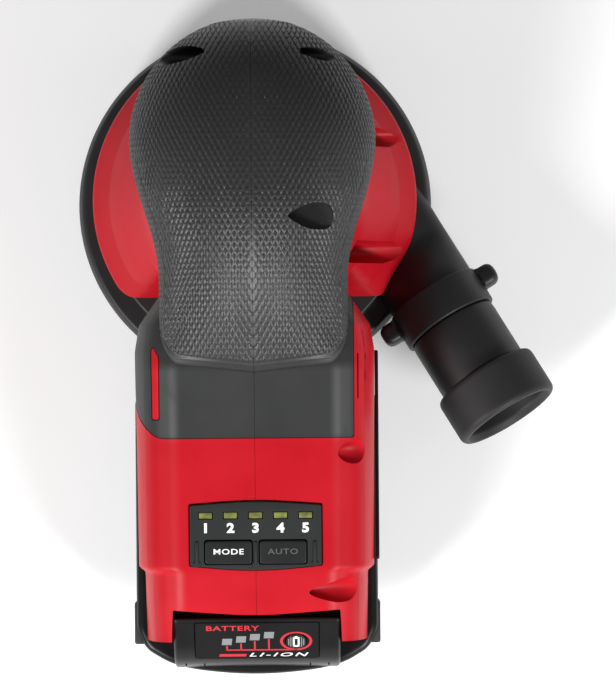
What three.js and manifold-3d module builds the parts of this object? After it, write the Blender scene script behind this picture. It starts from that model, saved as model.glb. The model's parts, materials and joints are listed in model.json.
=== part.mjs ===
// Cordless random-orbit sander with a slide-on battery, in millimetres.
// +Z is up and +Y is the nose. The origin is the centre of the pad's working face, on the motor axis.
import * as THREE from "three";
import { mergeVertices } from "three/addons/utils/BufferGeometryUtils.js";
import Module from "manifold-3d";

const wasm = await Module();
wasm.setup();

// ---- Driving dimensions ----
const GAP = 0.3; // clearance between pieces that touch
const SIMPLIFY = 0.03; // faces flatter than this are merged
const WALL = 2.4; // wall of the moulded shells
const SKIN = 2; // thickness of the rubber overmoulds

const PAD_RADIUS = 62.5; // takes a 125 mm disc
const ORBIT = 2.4; // diameter of the pad's orbit
const HOOK_THICKNESS = 1.3;
const FOAM_THICKNESS = 6.8;
const PLATE_THICKNESS = 3.3;
const DUST_HOLES = 8;
const DUST_HOLE_RADIUS = 5;
const DUST_CIRCLE = 32.5;
const PAD_SCREW_CIRCLE = 12;

const SHROUD_RADIUS = 63;
const SHROUD_BOTTOM = 9.6;
const SHROUD_TOP = 27.4;
const SHROUD_DECK = 35.5; // top of the deck that closes the dust chamber
const SKIRT_RADIUS = 57.5;
const SKIRT_Y = 1.5; // the skirt sits a little forward of the motor axis
const SKIRT_BOTTOM = 28;
const SKIRT_TOP = 36;
const WAIST_RADIUS = 37;
const SKIRT_END_X = 33; // the skirt stops on both sides of the neck
const SKIRT_END_Y = -33;

const PALM_RADIUS = 42.3; // radius of the nose in plan
const PALM_Y = 20; // centre of that radius
const PALM_TAIL_HALF = 32.5;
const PALM_TAPER = 47; // length over which the palm narrows
const PALM_BOTTOM = 82;
const LIP_Z = 87;
const CREST_Z = 124.5;
const CREST_Y = 3;
const CREST_FALL = 28.5; // drop from the crest to the tail
const PALM_TAIL_Y = -57;
const PALM_CORNER_HALF = 26;
const PALM_CORNER_Y = -53.5;

const BODY_HALF = 41.5;
const BODY_SHOULDER_Z = 58; // the side wall is upright below this height
const BODY_REAR = -153;
const BODY_STEP_Y = -127.4;
const BODY_STEP = 2.6; // the body narrows by this on each side
const BODY_CURVE = 2.7; // exponent of the rounded section
const BODY_CUT_Y = -141.5; // the battery shows behind this line
const NECK_BOTTOM = 38;
const BAND_REAR = -82;
const BAND_RIGHT = 33;
const BAND_BOTTOM = 55;

const STATOR_RADIUS = 28;
const STATOR_BOTTOM = 52;
const STATOR_HEIGHT = 20;
const ROTOR_RADIUS = 14.6;
const SHAFT_RADIUS = 4;
const FAN_RADIUS = 38;
const FAN_BOTTOM = 22;
const FAN_TOP = 32;
const BEARING_RADIUS = 11;
const BEARING_HEIGHT = 7;

const PORT_OFFSET = 37; // distance of the dust port's axis from the motor axis
const PORT_ANGLE = -58.7; // its direction in plan, degrees from +X
const PORT_RISE = 12.6; // degrees above the floor
const PORT_RADIUS = 16.2;
const PORT_Z = 31.4; // height of the axis where the round tube starts
const PORT_START = 60; // distance along the axis where the round tube starts
const PORT_BORE = 12;
const SPIGOT_RADIUS = 14;
const SPIGOT_LENGTH = 30;
const RING_LENGTH = 13.4;
const RING_RADIUS = 17.3;
const SLEEVE_LENGTH = 21.5;
const CUFF_RADIUS = 19;
const CUFF_LENGTH = 17;
const CUFF_BORE = 15;

const PANEL_HALF = 22.7;
const PANEL_LENGTH = 25;
const PANEL_Y = -115.6;
const PANEL_THICKNESS = 2.4;
const BUTTON_WIDTH = 16.2;
const BUTTON_LENGTH = 8.2;
const BUTTON_X = 9.4;
const BUTTON_TRAVEL = 0.8;
const WINDOW_PITCH = 8.6;

const PACK_HALF = 42.5;
const PACK_FRONT = -64;
const PACK_REAR = -166;
const PACK_BOTTOM = 24;
const PACK_TOP = 50;
const PACK_SPLIT = 35;
const RAIL_HALF = 28;
const RAIL_LIP = 3; // how far each rail reaches past its neck
const RAIL_NECK_HALF = RAIL_HALF - RAIL_LIP;
const RAIL_STEP_Z = 57;
const RAIL_TOP = 62;
const CELL_RADIUS = 9;
const CELL_LENGTH = 65;
const CELLS = 5;

const POWER_Z = STATOR_BOTTOM + STATOR_HEIGHT + 4.5; // the switch sits just above the motor

// ---- Solids ----

// A closed geometry as a manifold solid: shared vertices are merged and collapsed faces are dropped.
function solid(geometry, frame) {
  const shape = geometry.clone();
  shape.deleteAttribute("normal");
  shape.deleteAttribute("uv");
  if (frame) shape.applyMatrix4(frame);
  const merged = mergeVertices(shape, 1e-4);
  const vertProperties = merged.attributes.position.array;
  const corners = merged.index.array;
  const faces = [];
  for (let i = 0; i < corners.length; i += 3) {
    const [a, b, c] = corners.slice(i, i + 3);
    if (a !== b && b !== c && a !== c) faces.push(a, b, c);
  }
  const build = () =>
    new wasm.Manifold(
      new wasm.Mesh({ numProp: 3, vertProperties, triVerts: new Uint32Array(faces) }),
    );
  const made = build();
  if (made.volume() > 0) return made;
  faces.reverse();
  return build();
}

// Joins pieces into one solid.
const union = (...parts) => parts.reduce((whole, part) => whole.add(part));

function box([x0, y0, z0], [x1, y1, z1], frame) {
  const shape = new THREE.BoxGeometry(x1 - x0, y1 - y0, z1 - z0);
  return solid(shape.translate((x0 + x1) / 2, (y0 + y1) / 2, (z0 + z1) / 2), frame);
}

// A round bar from one point to another, tapered when a second radius is given.
function rod(from, to, radius, sides = 16, endRadius = radius, frame) {
  const a = new THREE.Vector3(...from);
  const b = new THREE.Vector3(...to);
  const along = b.clone().sub(a);
  const shape = new THREE.CylinderGeometry(endRadius, radius, along.length(), sides);
  const turn = new THREE.Quaternion().setFromUnitVectors(
    new THREE.Vector3(0, 1, 0),
    along.normalize(),
  );
  shape.applyQuaternion(turn);
  const middle = a.add(b).multiplyScalar(0.5);
  return solid(shape.translate(middle.x, middle.y, middle.z), frame);
}

// A closed profile of [radius, height] points turned about an upright axis.
function turned(profile, sides = 32, [x, y] = [0, 0], frame) {
  const points = profile.map(([r, z]) => new THREE.Vector2(r, z));
  if (profile[0][0] > 0 || profile.at(-1)[0] > 0) points.push(points[0].clone());
  const shape = new THREE.LatheGeometry(points, sides);
  return solid(shape.rotateX(Math.PI / 2).translate(x, y, 0), frame);
}

const ring = (inner, outer, low, high, sides, centre, frame) =>
  turned([[inner, low], [outer, low], [outer, high], [inner, high]], sides, centre, frame);

const disc = (radius, low, high, sides, centre, frame) =>
  turned([[0, low], [radius, low], [radius, high], [0, high]], sides, centre, frame);

// A plan outline of [x, y] points carried straight up between two heights.
function prism(outline, low, high, frame) {
  const shape = new THREE.Shape(outline.map(([x, y]) => new THREE.Vector2(x, y)));
  const made = new THREE.ExtrudeGeometry(shape, { depth: high - low, bevelEnabled: false });
  return solid(made.translate(0, 0, low), frame);
}

// A side outline of [y, z] points carried across between two values of x.
function slab(outline, left, right, frame) {
  const shape = new THREE.Shape(outline.map(([y, z]) => new THREE.Vector2(y, z)));
  const made = new THREE.ExtrudeGeometry(shape, { depth: right - left, bevelEnabled: false });
  const turn = new THREE.Matrix4().makeBasis(
    new THREE.Vector3(0, 1, 0),
    new THREE.Vector3(0, 0, 1),
    new THREE.Vector3(1, 0, 0),
  );
  return solid(made.applyMatrix4(turn).translate(left, 0, 0), frame);
}

// A skin over closed sections that all have the same number of [x, y, z] points.
function loft(sections) {
  const count = sections[0].length;
  const points = sections.flat();
  const faces = [];
  for (let s = 0; s + 1 < sections.length; s += 1) {
    for (let i = 0; i < count; i += 1) {
      const j = (i + 1) % count;
      const [a, b, c, d] = [i, j, j + count, i + count].map((k) => k + s * count);
      faces.push(a, b, c, a, c, d);
    }
  }
  const last = (sections.length - 1) * count;
  for (let i = 1; i + 1 < count; i += 1) {
    faces.push(0, i + 1, i);
    faces.push(last, last + i, last + i + 1);
  }
  const shape = new THREE.BufferGeometry();
  shape.setAttribute("position", new THREE.Float32BufferAttribute(points.flat(), 3));
  shape.setIndex(faces);
  return solid(shape);
}

// A round lead through hand-placed points.
function lead(points, radius, sides = 8) {
  const path = new THREE.CatmullRomCurve3(points.map((p) => new THREE.Vector3(...p)));
  const corners = Array.from({ length: sides }, (_, i) => polar(radius, (i * 360) / sides));
  const section = new THREE.Shape(corners.map(([x, y]) => new THREE.Vector2(x, y)));
  const made = new THREE.ExtrudeGeometry(section, {
    extrudePath: path,
    steps: 10,
  });
  return solid(made);
}

// A value read off a short list of [place, value] points, straight between them.
function between(points, place) {
  const next = points.findIndex(([p]) => p <= place);
  if (next === 0) return points[0][1];
  if (next < 0) return points.at(-1)[1];
  const [[p0, v0], [p1, v1]] = [points[next - 1], points[next]];
  return v0 + ((v1 - v0) * (place - p0)) / (p1 - p0);
}

const smooth = (t) => {
  const held = Math.min(1, Math.max(0, t));
  return held * held * (3 - 2 * held);
};

const polar = (radius, degrees) => {
  const turn = THREE.MathUtils.degToRad(degrees);
  return [radius * Math.cos(turn), radius * Math.sin(turn)];
};

const RIGHT_HALF = box([GAP / 2, -400, -50], [200, 200, 200]);
const LEFT_HALF = box([-200, -400, -50], [-GAP / 2, 200, 200]);

// ---- Shell shapes; inset moves every surface inwards ----

const NOSE_Y = PALM_Y + PALM_RADIUS;

function palmHalfWidth(y) {
  if (y > PALM_Y) return Math.sqrt(Math.max(0, PALM_RADIUS ** 2 - (y - PALM_Y) ** 2));
  return PALM_RADIUS - (PALM_RADIUS - PALM_TAIL_HALF) * smooth((PALM_Y - y) / PALM_TAPER);
}

function palmCrest(y) {
  if (y < CREST_Y) return CREST_Z - CREST_FALL * ((CREST_Y - y) / (CREST_Y - PALM_TAIL_Y)) ** 2;
  const reach = Math.min(1, (y - CREST_Y) / (NOSE_Y - CREST_Y));
  return LIP_Z + (CREST_Z - LIP_Z) * (1 - reach ** 2.2) ** (1 / 2.2);
}

const PALM_STATIONS = [62, 60, 55.5, 47, 35, 20, 3, -14, -30, -46, -62];

// The palm: a domed cross-section over an overhanging lip, narrowing towards the tail.
function palm(inset) {
  const sections = PALM_STATIONS.map((station) => {
    const share = (station - CREST_Y) / (NOSE_Y - CREST_Y);
    const y = station > CREST_Y ? CREST_Y + share * (NOSE_Y - inset - CREST_Y) : station;
    const half = Math.max(1, palmHalfWidth(station) - inset);
    const crest = Math.max(LIP_Z + 1, palmCrest(station) - inset);
    const low = PALM_BOTTOM + inset;
    const lip = Math.max(low + 0.5, LIP_Z);
    const right = [[half - 2.5 * Math.min(1, half / 4), low]];
    for (let step = 0; step < 6; step += 1) {
      const turn = (step / 6) * (Math.PI / 2);
      right.push([half * Math.cos(turn) ** 0.9, lip + (crest - lip) * Math.sin(turn) ** 0.85]);
    }
    const left = right.map(([x, z]) => [-x, z]).reverse();
    return [...right, [0, crest], ...left].map(([x, z]) => [x, y, z]);
  });
  const corner = PALM_CORNER_HALF;
  const outline = [
    [60, 80],
    [-60, 80],
    [-60, PALM_CORNER_Y + 5],
    [-corner - 5, PALM_CORNER_Y + 4],
    [-corner, PALM_CORNER_Y],
    [0, PALM_TAIL_Y],
    [corner, PALM_CORNER_Y],
    [corner + 5, PALM_CORNER_Y + 4],
    [60, PALM_CORNER_Y + 5],
  ].map(([x, y]) => [x, y < 0 ? y + inset : y]);
  return loft(sections).intersect(prism(outline, 50, 140));
}

const UPPER_SEAT_Z = STATOR_BOTTOM + STATOR_HEIGHT + 6.5; // foot of the motor's upper bearing
const CEILING_Z = UPPER_SEAT_Z + BEARING_HEIGHT + 3; // the plate over that bearing closes the waist

// The skirt is cut away on both sides of the neck, where the shroud shows.
const skirtEnds = (inset) =>
  union(
    box([SKIRT_END_X - inset, -80, 0], [80, SKIRT_END_Y + inset, BODY_SHOULDER_Z]),
    box([-80, -80, 0], [inset - SKIRT_END_X, SKIRT_END_Y + inset, BODY_SHOULDER_Z]),
  );

// The head: the wide skirt over the shroud, its chamfer, and the finger waist under the palm.
function head(inset) {
  const open = inset > 0 ? 4 : 0; // the hollow runs out through the bottom
  const profile = [
    [0, SKIRT_BOTTOM - open],
    [SKIRT_RADIUS - inset, SKIRT_BOTTOM - open],
    [SKIRT_RADIUS - inset, SKIRT_TOP - inset / 3],
    [SKIRT_RADIUS - 6.2 - inset, SKIRT_TOP + 6.4 - inset / 2],
    [SKIRT_RADIUS - 10.5 - inset, SKIRT_TOP + 14 - inset / 2],
    [WAIST_RADIUS + 4 - inset, SKIRT_TOP + 24 - inset / 2],
    [WAIST_RADIUS - inset, SKIRT_TOP + 33],
    [WAIST_RADIUS - 1 - inset, CEILING_Z],
    [0, CEILING_Z],
  ];
  return turned(profile, 36, [0, SKIRT_Y]).subtract(skirtEnds(inset));
}

const bodyTop = (y) =>
  between([[-20, 94], [-57, 94], [BAND_REAR, 86], [-128, 80], [-140, 76], [BODY_REAR, 71]], y);

const bodyHalf = (y) =>
  between(
    [
      [-20, 26],
      [-33, 33],
      [-43, 40],
      [-52, BODY_HALF],
      [BODY_STEP_Y, BODY_HALF - 0.4],
      [BODY_STEP_Y - 0.6, BODY_HALF - BODY_STEP],
      [BODY_REAR, BODY_HALF - BODY_STEP - 0.3],
    ],
    y,
  );

function bodySection(y, bottom, inset) {
  const half = bodyHalf(y) - inset;
  const rise = bodyTop(y) - inset - BODY_SHOULDER_Z;
  const right = [[half, bottom]];
  for (let step = 0; step < 5; step += 1) {
    const turn = (step / 5) * (Math.PI / 2);
    right.push([
      half * Math.cos(turn) ** (2 / BODY_CURVE),
      BODY_SHOULDER_Z + rise * Math.sin(turn) ** (2 / BODY_CURVE),
    ]);
  }
  const left = right.map(([x, z]) => [-x, z]).reverse();
  return [...right, [0, BODY_SHOULDER_Z + rise], ...left].map(([x, z]) => [x, y, z]);
}

const bodyLoft = (stations, bottom, inset) =>
  loft(stations.map((y) => bodySection(y, bottom, inset)));

const RAIL_CLEARANCE = 0.6;
const NECK_REAR = PACK_FRONT + 2; // the wall that faces the battery
const BODY_BOTTOM = PACK_TOP + RAIL_CLEARANCE;
const BODY_DECK = RAIL_TOP + RAIL_CLEARANCE + WALL;

const neck = (inset) =>
  bodyLoft([-20, -33, -43, -52, NECK_REAR + inset], NECK_BOTTOM + inset, inset);

const rear = (inset) =>
  bodyLoft(
    [-45, -52, -58, BAND_REAR, -105, BODY_STEP_Y, BODY_STEP_Y - 0.6, -140, BODY_REAR + inset],
    BODY_BOTTOM,
    inset,
  );

const body = (inset) => neck(inset).add(rear(inset));

// ---- Dust port: its axis runs past the pad, and a flat duct under the skirt turns round outside ----

const PORT_WAY = new THREE.Vector3(...polar(1, PORT_ANGLE), 0);
const PORT_SIDE = new THREE.Vector3(-PORT_WAY.y, PORT_WAY.x, 0);
const PORT_SLOPE = Math.tan(THREE.MathUtils.degToRad(PORT_RISE));
const PORT_DIRECTION = new THREE.Vector3(PORT_WAY.x, PORT_WAY.y, PORT_SLOPE).normalize();

const portPoint = (along, z) =>
  PORT_SIDE.clone().multiplyScalar(PORT_OFFSET).addScaledVector(PORT_WAY, along).setZ(z);

// Local frame of the round tube: local z runs out along the tube, local x points to its outer side.
const PORT_FRAME = new THREE.Matrix4()
  .makeBasis(
    PORT_SIDE,
    PORT_DIRECTION.clone().cross(PORT_SIDE),
    PORT_DIRECTION,
  )
  .setPosition(portPoint(PORT_START, PORT_Z));

const DUCT_TOP = SHROUD_DECK;
const DUCT_HALF_HEIGHT = 9.1;

function duct(inset, start) {
  const flat = DUCT_TOP - DUCT_HALF_HEIGHT;
  const sections = [
    [start, DUCT_HALF_HEIGHT, flat],
    [PORT_START - 18, DUCT_HALF_HEIGHT, flat],
    [PORT_START - 9, (DUCT_HALF_HEIGHT + PORT_RADIUS) / 2, (flat + PORT_Z) / 2 - 1],
    [PORT_START + 0.2, PORT_RADIUS, PORT_Z],
  ];
  return loft(
    sections.map(([along, tall, z]) =>
      Array.from({ length: 16 }, (_, i) => {
        const [side, up] = polar(1, i * 22.5);
        const lean = along > PORT_START ? up * (tall - inset) * PORT_SLOPE : 0;
        return portPoint(along - lean, z)
          .addScaledVector(PORT_SIDE, side * (PORT_RADIUS - inset))
          .setZ(z + up * (tall - inset))
          .toArray();
      }),
    ),
  );
}

// ---- Housing ----

const PALM_CORE = SKIN + GAP;

// Side screws: place, bore for the screw head, and where its seat lies.
const HOUSING_SCREWS = [
  { y: 23, z: 44.5, bore: 3.5, seat: 22 },
  { y: -17.6, z: 44.5, bore: 3.9, seat: 22 },
  { y: -7.3, z: 116.6, bore: 4.3, seat: 7 },
  { y: -87, z: 79.6, bore: 3.2, seat: 20 },
  { y: -134.7, z: 71.6, bore: 4.1, seat: 16 },
];
const SCREW_SHANK = 1.6;
const SCREW_HEAD = 2.9;
const SCREW_REACH = 12; // length of thread in the left half
const SHROUD_SCREWS = [60, 180, 300].map((turn) => polar(46, turn));

const screwBores = () =>
  union(...HOUSING_SCREWS.map(({ y, z, bore, seat }) => rod([seat, y, z], [90, y, z], bore, 12)));

function bosses() {
  const across = HOUSING_SCREWS.map(({ y, z, bore, seat }) =>
    rod([-SCREW_REACH - 4, y, z], [seat + 14, y, z], bore + 1.5, 8),
  );
  const webs = HOUSING_SCREWS.map(({ y, z }) =>
    z > BODY_DECK
      ? box([-SCREW_REACH - 4, y - 1, z], [30, y + 1, z + 30])
      : box([-SCREW_REACH - 4, y > 0 ? y : -70, z - 1.2], [30, y > 0 ? 70 : y, z + 1.2]),
  );
  const upright = SHROUD_SCREWS.map(([x, y]) => disc(4, SHROUD_DECK + 4.4, 54, 12, [x, y]));
  return union(...across, ...webs, ...upright);
}

// Ribs that hold the stator, and the plate with the pocket for the upper bearing.
function motorMount() {
  const ribs = [35, 80, 100, 145, 215, 325].map((turn) => {
    const place = new THREE.Matrix4().makeRotationZ(THREE.MathUtils.degToRad(turn));
    return box([STATOR_RADIUS + GAP, -1.2, STATOR_BOTTOM], [40, 1.2, UPPER_SEAT_Z], place);
  });
  const plate = union(
    ring(SHAFT_RADIUS + 1, 40, CEILING_Z - WALL, CEILING_Z, 24),
    ring(BEARING_RADIUS + GAP, BEARING_RADIUS + 3, UPPER_SEAT_Z, CEILING_Z, 24),
  );
  const wiring = box([-16, -45, CEILING_Z - 5], [16, -18, CEILING_Z + 1]);
  const switchWay = box([-12, 15, CEILING_Z - 9], [12, 45, CEILING_Z + 1]);
  return union(plate.subtract(wiring).subtract(switchWay), ...ribs);
}

const bandOutline = (shrink) => [
  [-60, -36 - shrink],
  [-60, -68 + shrink],
  [-40, -74 + shrink],
  [-36, BAND_REAR + shrink],
  [BAND_RIGHT - 4 - shrink, BAND_REAR + shrink],
  [BAND_RIGHT - shrink, BAND_REAR + 4 + shrink],
  [BAND_RIGHT - shrink, -36 - shrink],
];

const bandRegion = (shrink) => prism(bandOutline(shrink), BAND_BOTTOM + shrink, 130);

// Opening of the tool's rear, where the battery's top stands between two prongs.
const rearOpening = () =>
  prism(
    [
      [-RAIL_HALF - 1.6, -180],
      [RAIL_HALF + 1.6, -180],
      [RAIL_HALF + 1.6, BODY_CUT_Y],
      [0, BODY_CUT_Y - 2.1],
      [-RAIL_HALF - 1.6, BODY_CUT_Y],
    ],
    40,
    100,
  );

// Channel that the battery's rails slide in: wide above, with a lip under the rail on each side.
function railChannel() {
  const wide = RAIL_HALF + RAIL_CLEARANCE;
  const narrow = RAIL_NECK_HALF + RAIL_CLEARANCE;
  const top = RAIL_TOP + RAIL_CLEARANCE;
  const front = PACK_FRONT + RAIL_CLEARANCE;
  return union(
    box([-wide, -180, RAIL_STEP_Z - RAIL_CLEARANCE], [wide, front, top]),
    box([-narrow, -180, 40], [narrow, front, RAIL_STEP_Z]),
  );
}

const PANEL_SLOPE = Math.atan2(bodyTop(-104) - bodyTop(-127), 23);
const PANEL_PROUD = 0.5;
const PANEL_FRAME = new THREE.Matrix4()
  .makeRotationX(PANEL_SLOPE)
  .setPosition(0, PANEL_Y, bodyTop(PANEL_Y) + PANEL_PROUD);

const panelOutline = (grow) => {
  const half = PANEL_HALF + grow;
  const end = PANEL_LENGTH / 2 + grow;
  return [
    [-half, -end + 2],
    [0, -end],
    [half, -end + 2],
    [half, end - 1.5],
    [0, end],
    [-half, end - 1.5],
  ];
};

const POWER_HALF = 8;
const POWER_HEIGHT = 4.2;
const powerOpening = (grow) =>
  box(
    [-POWER_HALF - grow, 20, POWER_Z - POWER_HEIGHT - grow],
    [POWER_HALF + grow, 60, POWER_Z + POWER_HEIGHT + grow],
  );

const TERMINAL_HALF = 15;
const TERMINAL_LOW = 53.6;
const TERMINAL_HIGH = 61.6;

function housing() {
  const outer = union(palm(PALM_CORE), head(0), body(0));
  const bandCut = bandRegion(0)
    .intersect(body(-1))
    .subtract(body(PALM_CORE))
    .subtract(palm(PALM_CORE));
  const rearHollow = rear(WALL).intersect(box([-60, BODY_CUT_Y + WALL, BODY_DECK], [60, -40, 130]));
  const hollow = union(palm(PALM_CORE + WALL), head(WALL), neck(WALL), rearHollow);
  const bottom = box([-46, NECK_REAR - 1, 0], [46, -25, SHROUD_DECK + 3.9]);
  const shell = outer
    .subtract(hollow.subtract(bottom))
    .subtract(bandCut.subtract(hollow));
  const inside = union(bosses(), motorMount().intersect(head(0.4)))
    .intersect(outer)
    .subtract(bandCut);
  const screwWays = union(
    ...HOUSING_SCREWS.map(({ y, z, seat }) =>
      rod([-SCREW_REACH, y, z], [seat + 1, y, z], SCREW_SHANK + GAP, 10),
    ),
    ...SHROUD_SCREWS.map(([x, y]) => disc(SCREW_SHANK + GAP, 30, 49, 10, [x, y])),
  );
  const motorSpace = union(
    disc(STATOR_RADIUS + GAP, STATOR_BOTTOM - 5, UPPER_SEAT_Z - 3, 32),
    disc(BEARING_RADIUS + GAP, STATOR_BOTTOM - 5, UPPER_SEAT_Z + BEARING_HEIGHT + GAP, 24),
    disc(14, 30, STATOR_BOTTOM, 24),
    disc(50.6, 20, SHROUD_DECK + 3.9, 32),
    disc(SKIRT_RADIUS - WALL, 20, SHROUD_DECK + GAP, 36),
  );
  const cutters = union(
    screwBores(),
    screwWays,
    motorSpace,
    railChannel(),
    rearOpening(),
    duct(-0.4, 0),
    prism(panelOutline(GAP), -PANEL_THICKNESS - 3, 8, PANEL_FRAME),
    powerOpening(GAP),
    box(
      [-TERMINAL_HALF - GAP, NECK_REAR - 8, TERMINAL_LOW - GAP],
      [TERMINAL_HALF + GAP, NECK_REAR + 6, TERMINAL_HIGH + GAP],
    ),
  );
  return shell.add(inside).subtract(cutters);
}

function grip() {
  const bores = screwBores();
  return palm(0)
    .subtract(palm(SKIN))
    .subtract(body(-GAP))
    .subtract(head(-GAP))
    .subtract(powerOpening(GAP))
    .subtract(bores);
}

function band() {
  const skin = body(0).subtract(body(SKIN)).intersect(bandRegion(GAP));
  return skin.subtract(palm(-GAP)).subtract(head(-GAP)).subtract(screwBores());
}

// ---- Shroud and dust port ----

function shroud() {
  const profile = [
    [SHROUD_RADIUS, SHROUD_BOTTOM],
    [SHROUD_RADIUS, SHROUD_TOP - 3],
    [SHROUD_RADIUS - 1.6, SHROUD_TOP],
    [SKIRT_RADIUS - 3.2, SHROUD_TOP],
    [SKIRT_RADIUS - 3.2, SHROUD_DECK],
    [14, SHROUD_DECK],
    [14, SHROUD_DECK - 2],
    [SKIRT_RADIUS - 5.4, SHROUD_DECK - 2],
    [SKIRT_RADIUS - 5.4, SHROUD_TOP - 2],
    [SHROUD_RADIUS - 2.2, SHROUD_TOP - 3],
    [SHROUD_RADIUS - 2.2, SHROUD_BOTTOM + 10.4],
    [46, SHROUD_BOTTOM + 10.4],
    [46, SHROUD_BOTTOM + 8.4],
    [SHROUD_RADIUS - 2.2, SHROUD_BOTTOM + 8.4],
    [SHROUD_RADIUS - 2.2, SHROUD_BOTTOM],
  ];
  const chamber = disc(SHROUD_RADIUS - 2.4, 0, SHROUD_DECK - 1.9, 36);
  const outlet = duct(0, 14).subtract(chamber);
  const spigot = rod([0, 0, -0.5], [0, 0, SPIGOT_LENGTH], SPIGOT_RADIUS, 20, SPIGOT_RADIUS, PORT_FRAME);
  const bore = rod([0, 0, -1], [0, 0, SPIGOT_LENGTH + 5], PORT_BORE, 20, PORT_BORE, PORT_FRAME);
  const holes = SHROUD_SCREWS.map(([x, y]) => disc(SCREW_SHANK + GAP, 30, 50, 10, [x, y]));
  return union(turned(profile, 36), outlet, spigot)
    .subtract(union(duct(PORT_RADIUS - PORT_BORE - 1.6, 8), bore, ...holes));
}

function lockRing() {
  const collar = ring(SPIGOT_RADIUS + GAP, RING_RADIUS, 0.6, RING_LENGTH, 24);
  const ears = [1, -1].map((side) => {
    const knob = rod([side * 19.2, 0, 1.4], [side * 19.2, 0, 8.4], 4.4, 14);
    const web = box(
      [Math.min(side * 16, side * 19), -3.4, 1.4],
      [Math.max(side * 16, side * 19), 3.4, 8.4],
    );
    return knob.add(web);
  });
  return union(collar, ...ears);
}

function hoseAdapter() {
  const start = RING_LENGTH + GAP;
  const stop = SPIGOT_LENGTH + 0.8;
  return turned(
    [
      [SPIGOT_RADIUS + GAP, start],
      [PORT_RADIUS, start],
      [PORT_RADIUS, start + SLEEVE_LENGTH],
      [PORT_BORE + 1, start + SLEEVE_LENGTH],
      [PORT_BORE + 1, stop],
      [SPIGOT_RADIUS + GAP, stop],
    ],
    24,
  );
}

function adapterCuff() {
  const start = RING_LENGTH + GAP + SLEEVE_LENGTH + GAP;
  return turned(
    [
      [PORT_BORE + 1.5, start],
      [CUFF_RADIUS - 1, start],
      [CUFF_RADIUS, start + 1.5],
      [CUFF_RADIUS, start + CUFF_LENGTH],
      [CUFF_BORE, start + CUFF_LENGTH],
      [CUFF_BORE, start + 3],
    ],
    24,
  );
}

// ---- Drive ----

const JOURNAL_BOTTOM = HOOK_THICKNESS + FOAM_THICKNESS + PLATE_THICKNESS + 5;
const PAD_CENTRE = [ORBIT / 2, 0];

function motorShaft() {
  const journal = disc(5, JOURNAL_BOTTOM, 26, 16, PAD_CENTRE);
  const collar = disc(8, 24, FAN_TOP + 4.6, 20);
  return union(journal, collar, disc(SHAFT_RADIUS, 30, UPPER_SEAT_Z + BEARING_HEIGHT, 16));
}

function bearing(bore, outer, low, high, centre) {
  const middle = (bore + outer) / 2;
  return turned(
    [
      [bore, low],
      [middle - 0.8, low],
      [middle - 0.6, low + 0.5],
      [middle + 0.6, low + 0.5],
      [middle + 0.8, low],
      [outer, low],
      [outer, high],
      [bore, high],
    ],
    20,
    centre,
  );
}

function dustFan() {
  const blades = Array.from({ length: 9 }, (_, i) => {
    const place = new THREE.Matrix4().makeRotationZ((i * 2 * Math.PI) / 9);
    return box([24, -0.8, FAN_BOTTOM], [FAN_RADIUS, 0.8, FAN_TOP - 1.5], place);
  });
  return union(ring(8 + GAP, FAN_RADIUS, FAN_TOP - 2, FAN_TOP, 32), ...blades);
}

// The weight balances the pad, so it stands opposite the crank.
function counterweight() {
  const full = ring(8 + GAP, 30, FAN_TOP + GAP, SHROUD_DECK - 2.3, 32);
  return full.subtract(box([-6, -60, 0], [60, 60, 60])).add(
    ring(8 + GAP, 12, FAN_TOP + GAP, SHROUD_DECK - 2.3, 20),
  );
}

const BEARING_PLATE_Z = SHROUD_DECK + GAP;

const BEARING_PLATE_RADIUS = 50;
const BEARING_PLATE_THICKNESS = 3.2;
const SEAT_FLOOR = 2.2;
const SEAT_DEPTH = 8.3;
const SEAT_WALL = 2.2;

function bearingPlate() {
  const [bore, seat] = [SHAFT_RADIUS + 5, BEARING_RADIUS + GAP];
  const top = BEARING_PLATE_Z + SEAT_FLOOR + SEAT_DEPTH;
  const hub = [
    [bore, BEARING_PLATE_Z],
    [BEARING_PLATE_RADIUS, BEARING_PLATE_Z],
    [BEARING_PLATE_RADIUS, BEARING_PLATE_Z + BEARING_PLATE_THICKNESS],
    [seat + SEAT_WALL, BEARING_PLATE_Z + BEARING_PLATE_THICKNESS],
    [seat + SEAT_WALL, top],
    [seat, top],
    [seat, BEARING_PLATE_Z + SEAT_FLOOR],
    [bore, BEARING_PLATE_Z + SEAT_FLOOR],
  ];
  const holes = SHROUD_SCREWS.map(([x, y]) => disc(SCREW_SHANK + GAP, 20, 50, 10, [x, y]));
  return turned(hub, 36).subtract(union(skirtEnds(WALL + GAP), ...holes));
}

const TEETH = 6;
const toothFrames = () =>
  Array.from({ length: TEETH }, (_, i) =>
    new THREE.Matrix4().makeRotationZ(((i + 0.5) * 2 * Math.PI) / TEETH),
  );

function teeth(grow) {
  const low = STATOR_BOTTOM - grow;
  const high = STATOR_BOTTOM + STATOR_HEIGHT + grow;
  return toothFrames().map((place) =>
    box([ROTOR_RADIUS + 0.6 - grow, -3 - grow, low], [STATOR_RADIUS - 1, 3 + grow, high], place),
  );
}

function stator() {
  const high = STATOR_BOTTOM + STATOR_HEIGHT;
  return union(ring(STATOR_RADIUS - 3, STATOR_RADIUS, STATOR_BOTTOM, high, 32), ...teeth(0));
}

function windings() {
  const outer = STATOR_RADIUS - 3 - GAP;
  const coil = ring(ROTOR_RADIUS + 2.4, outer, STATOR_BOTTOM - 4, STATOR_BOTTOM + STATOR_HEIGHT + 4, 30);
  return coil.subtract(union(...teeth(GAP)));
}

function rotor() {
  return ring(SHAFT_RADIUS + GAP, ROTOR_RADIUS, STATOR_BOTTOM - 1, STATOR_BOTTOM + STATOR_HEIGHT + 1, 24);
}

// ---- Sanding pad ----

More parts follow.
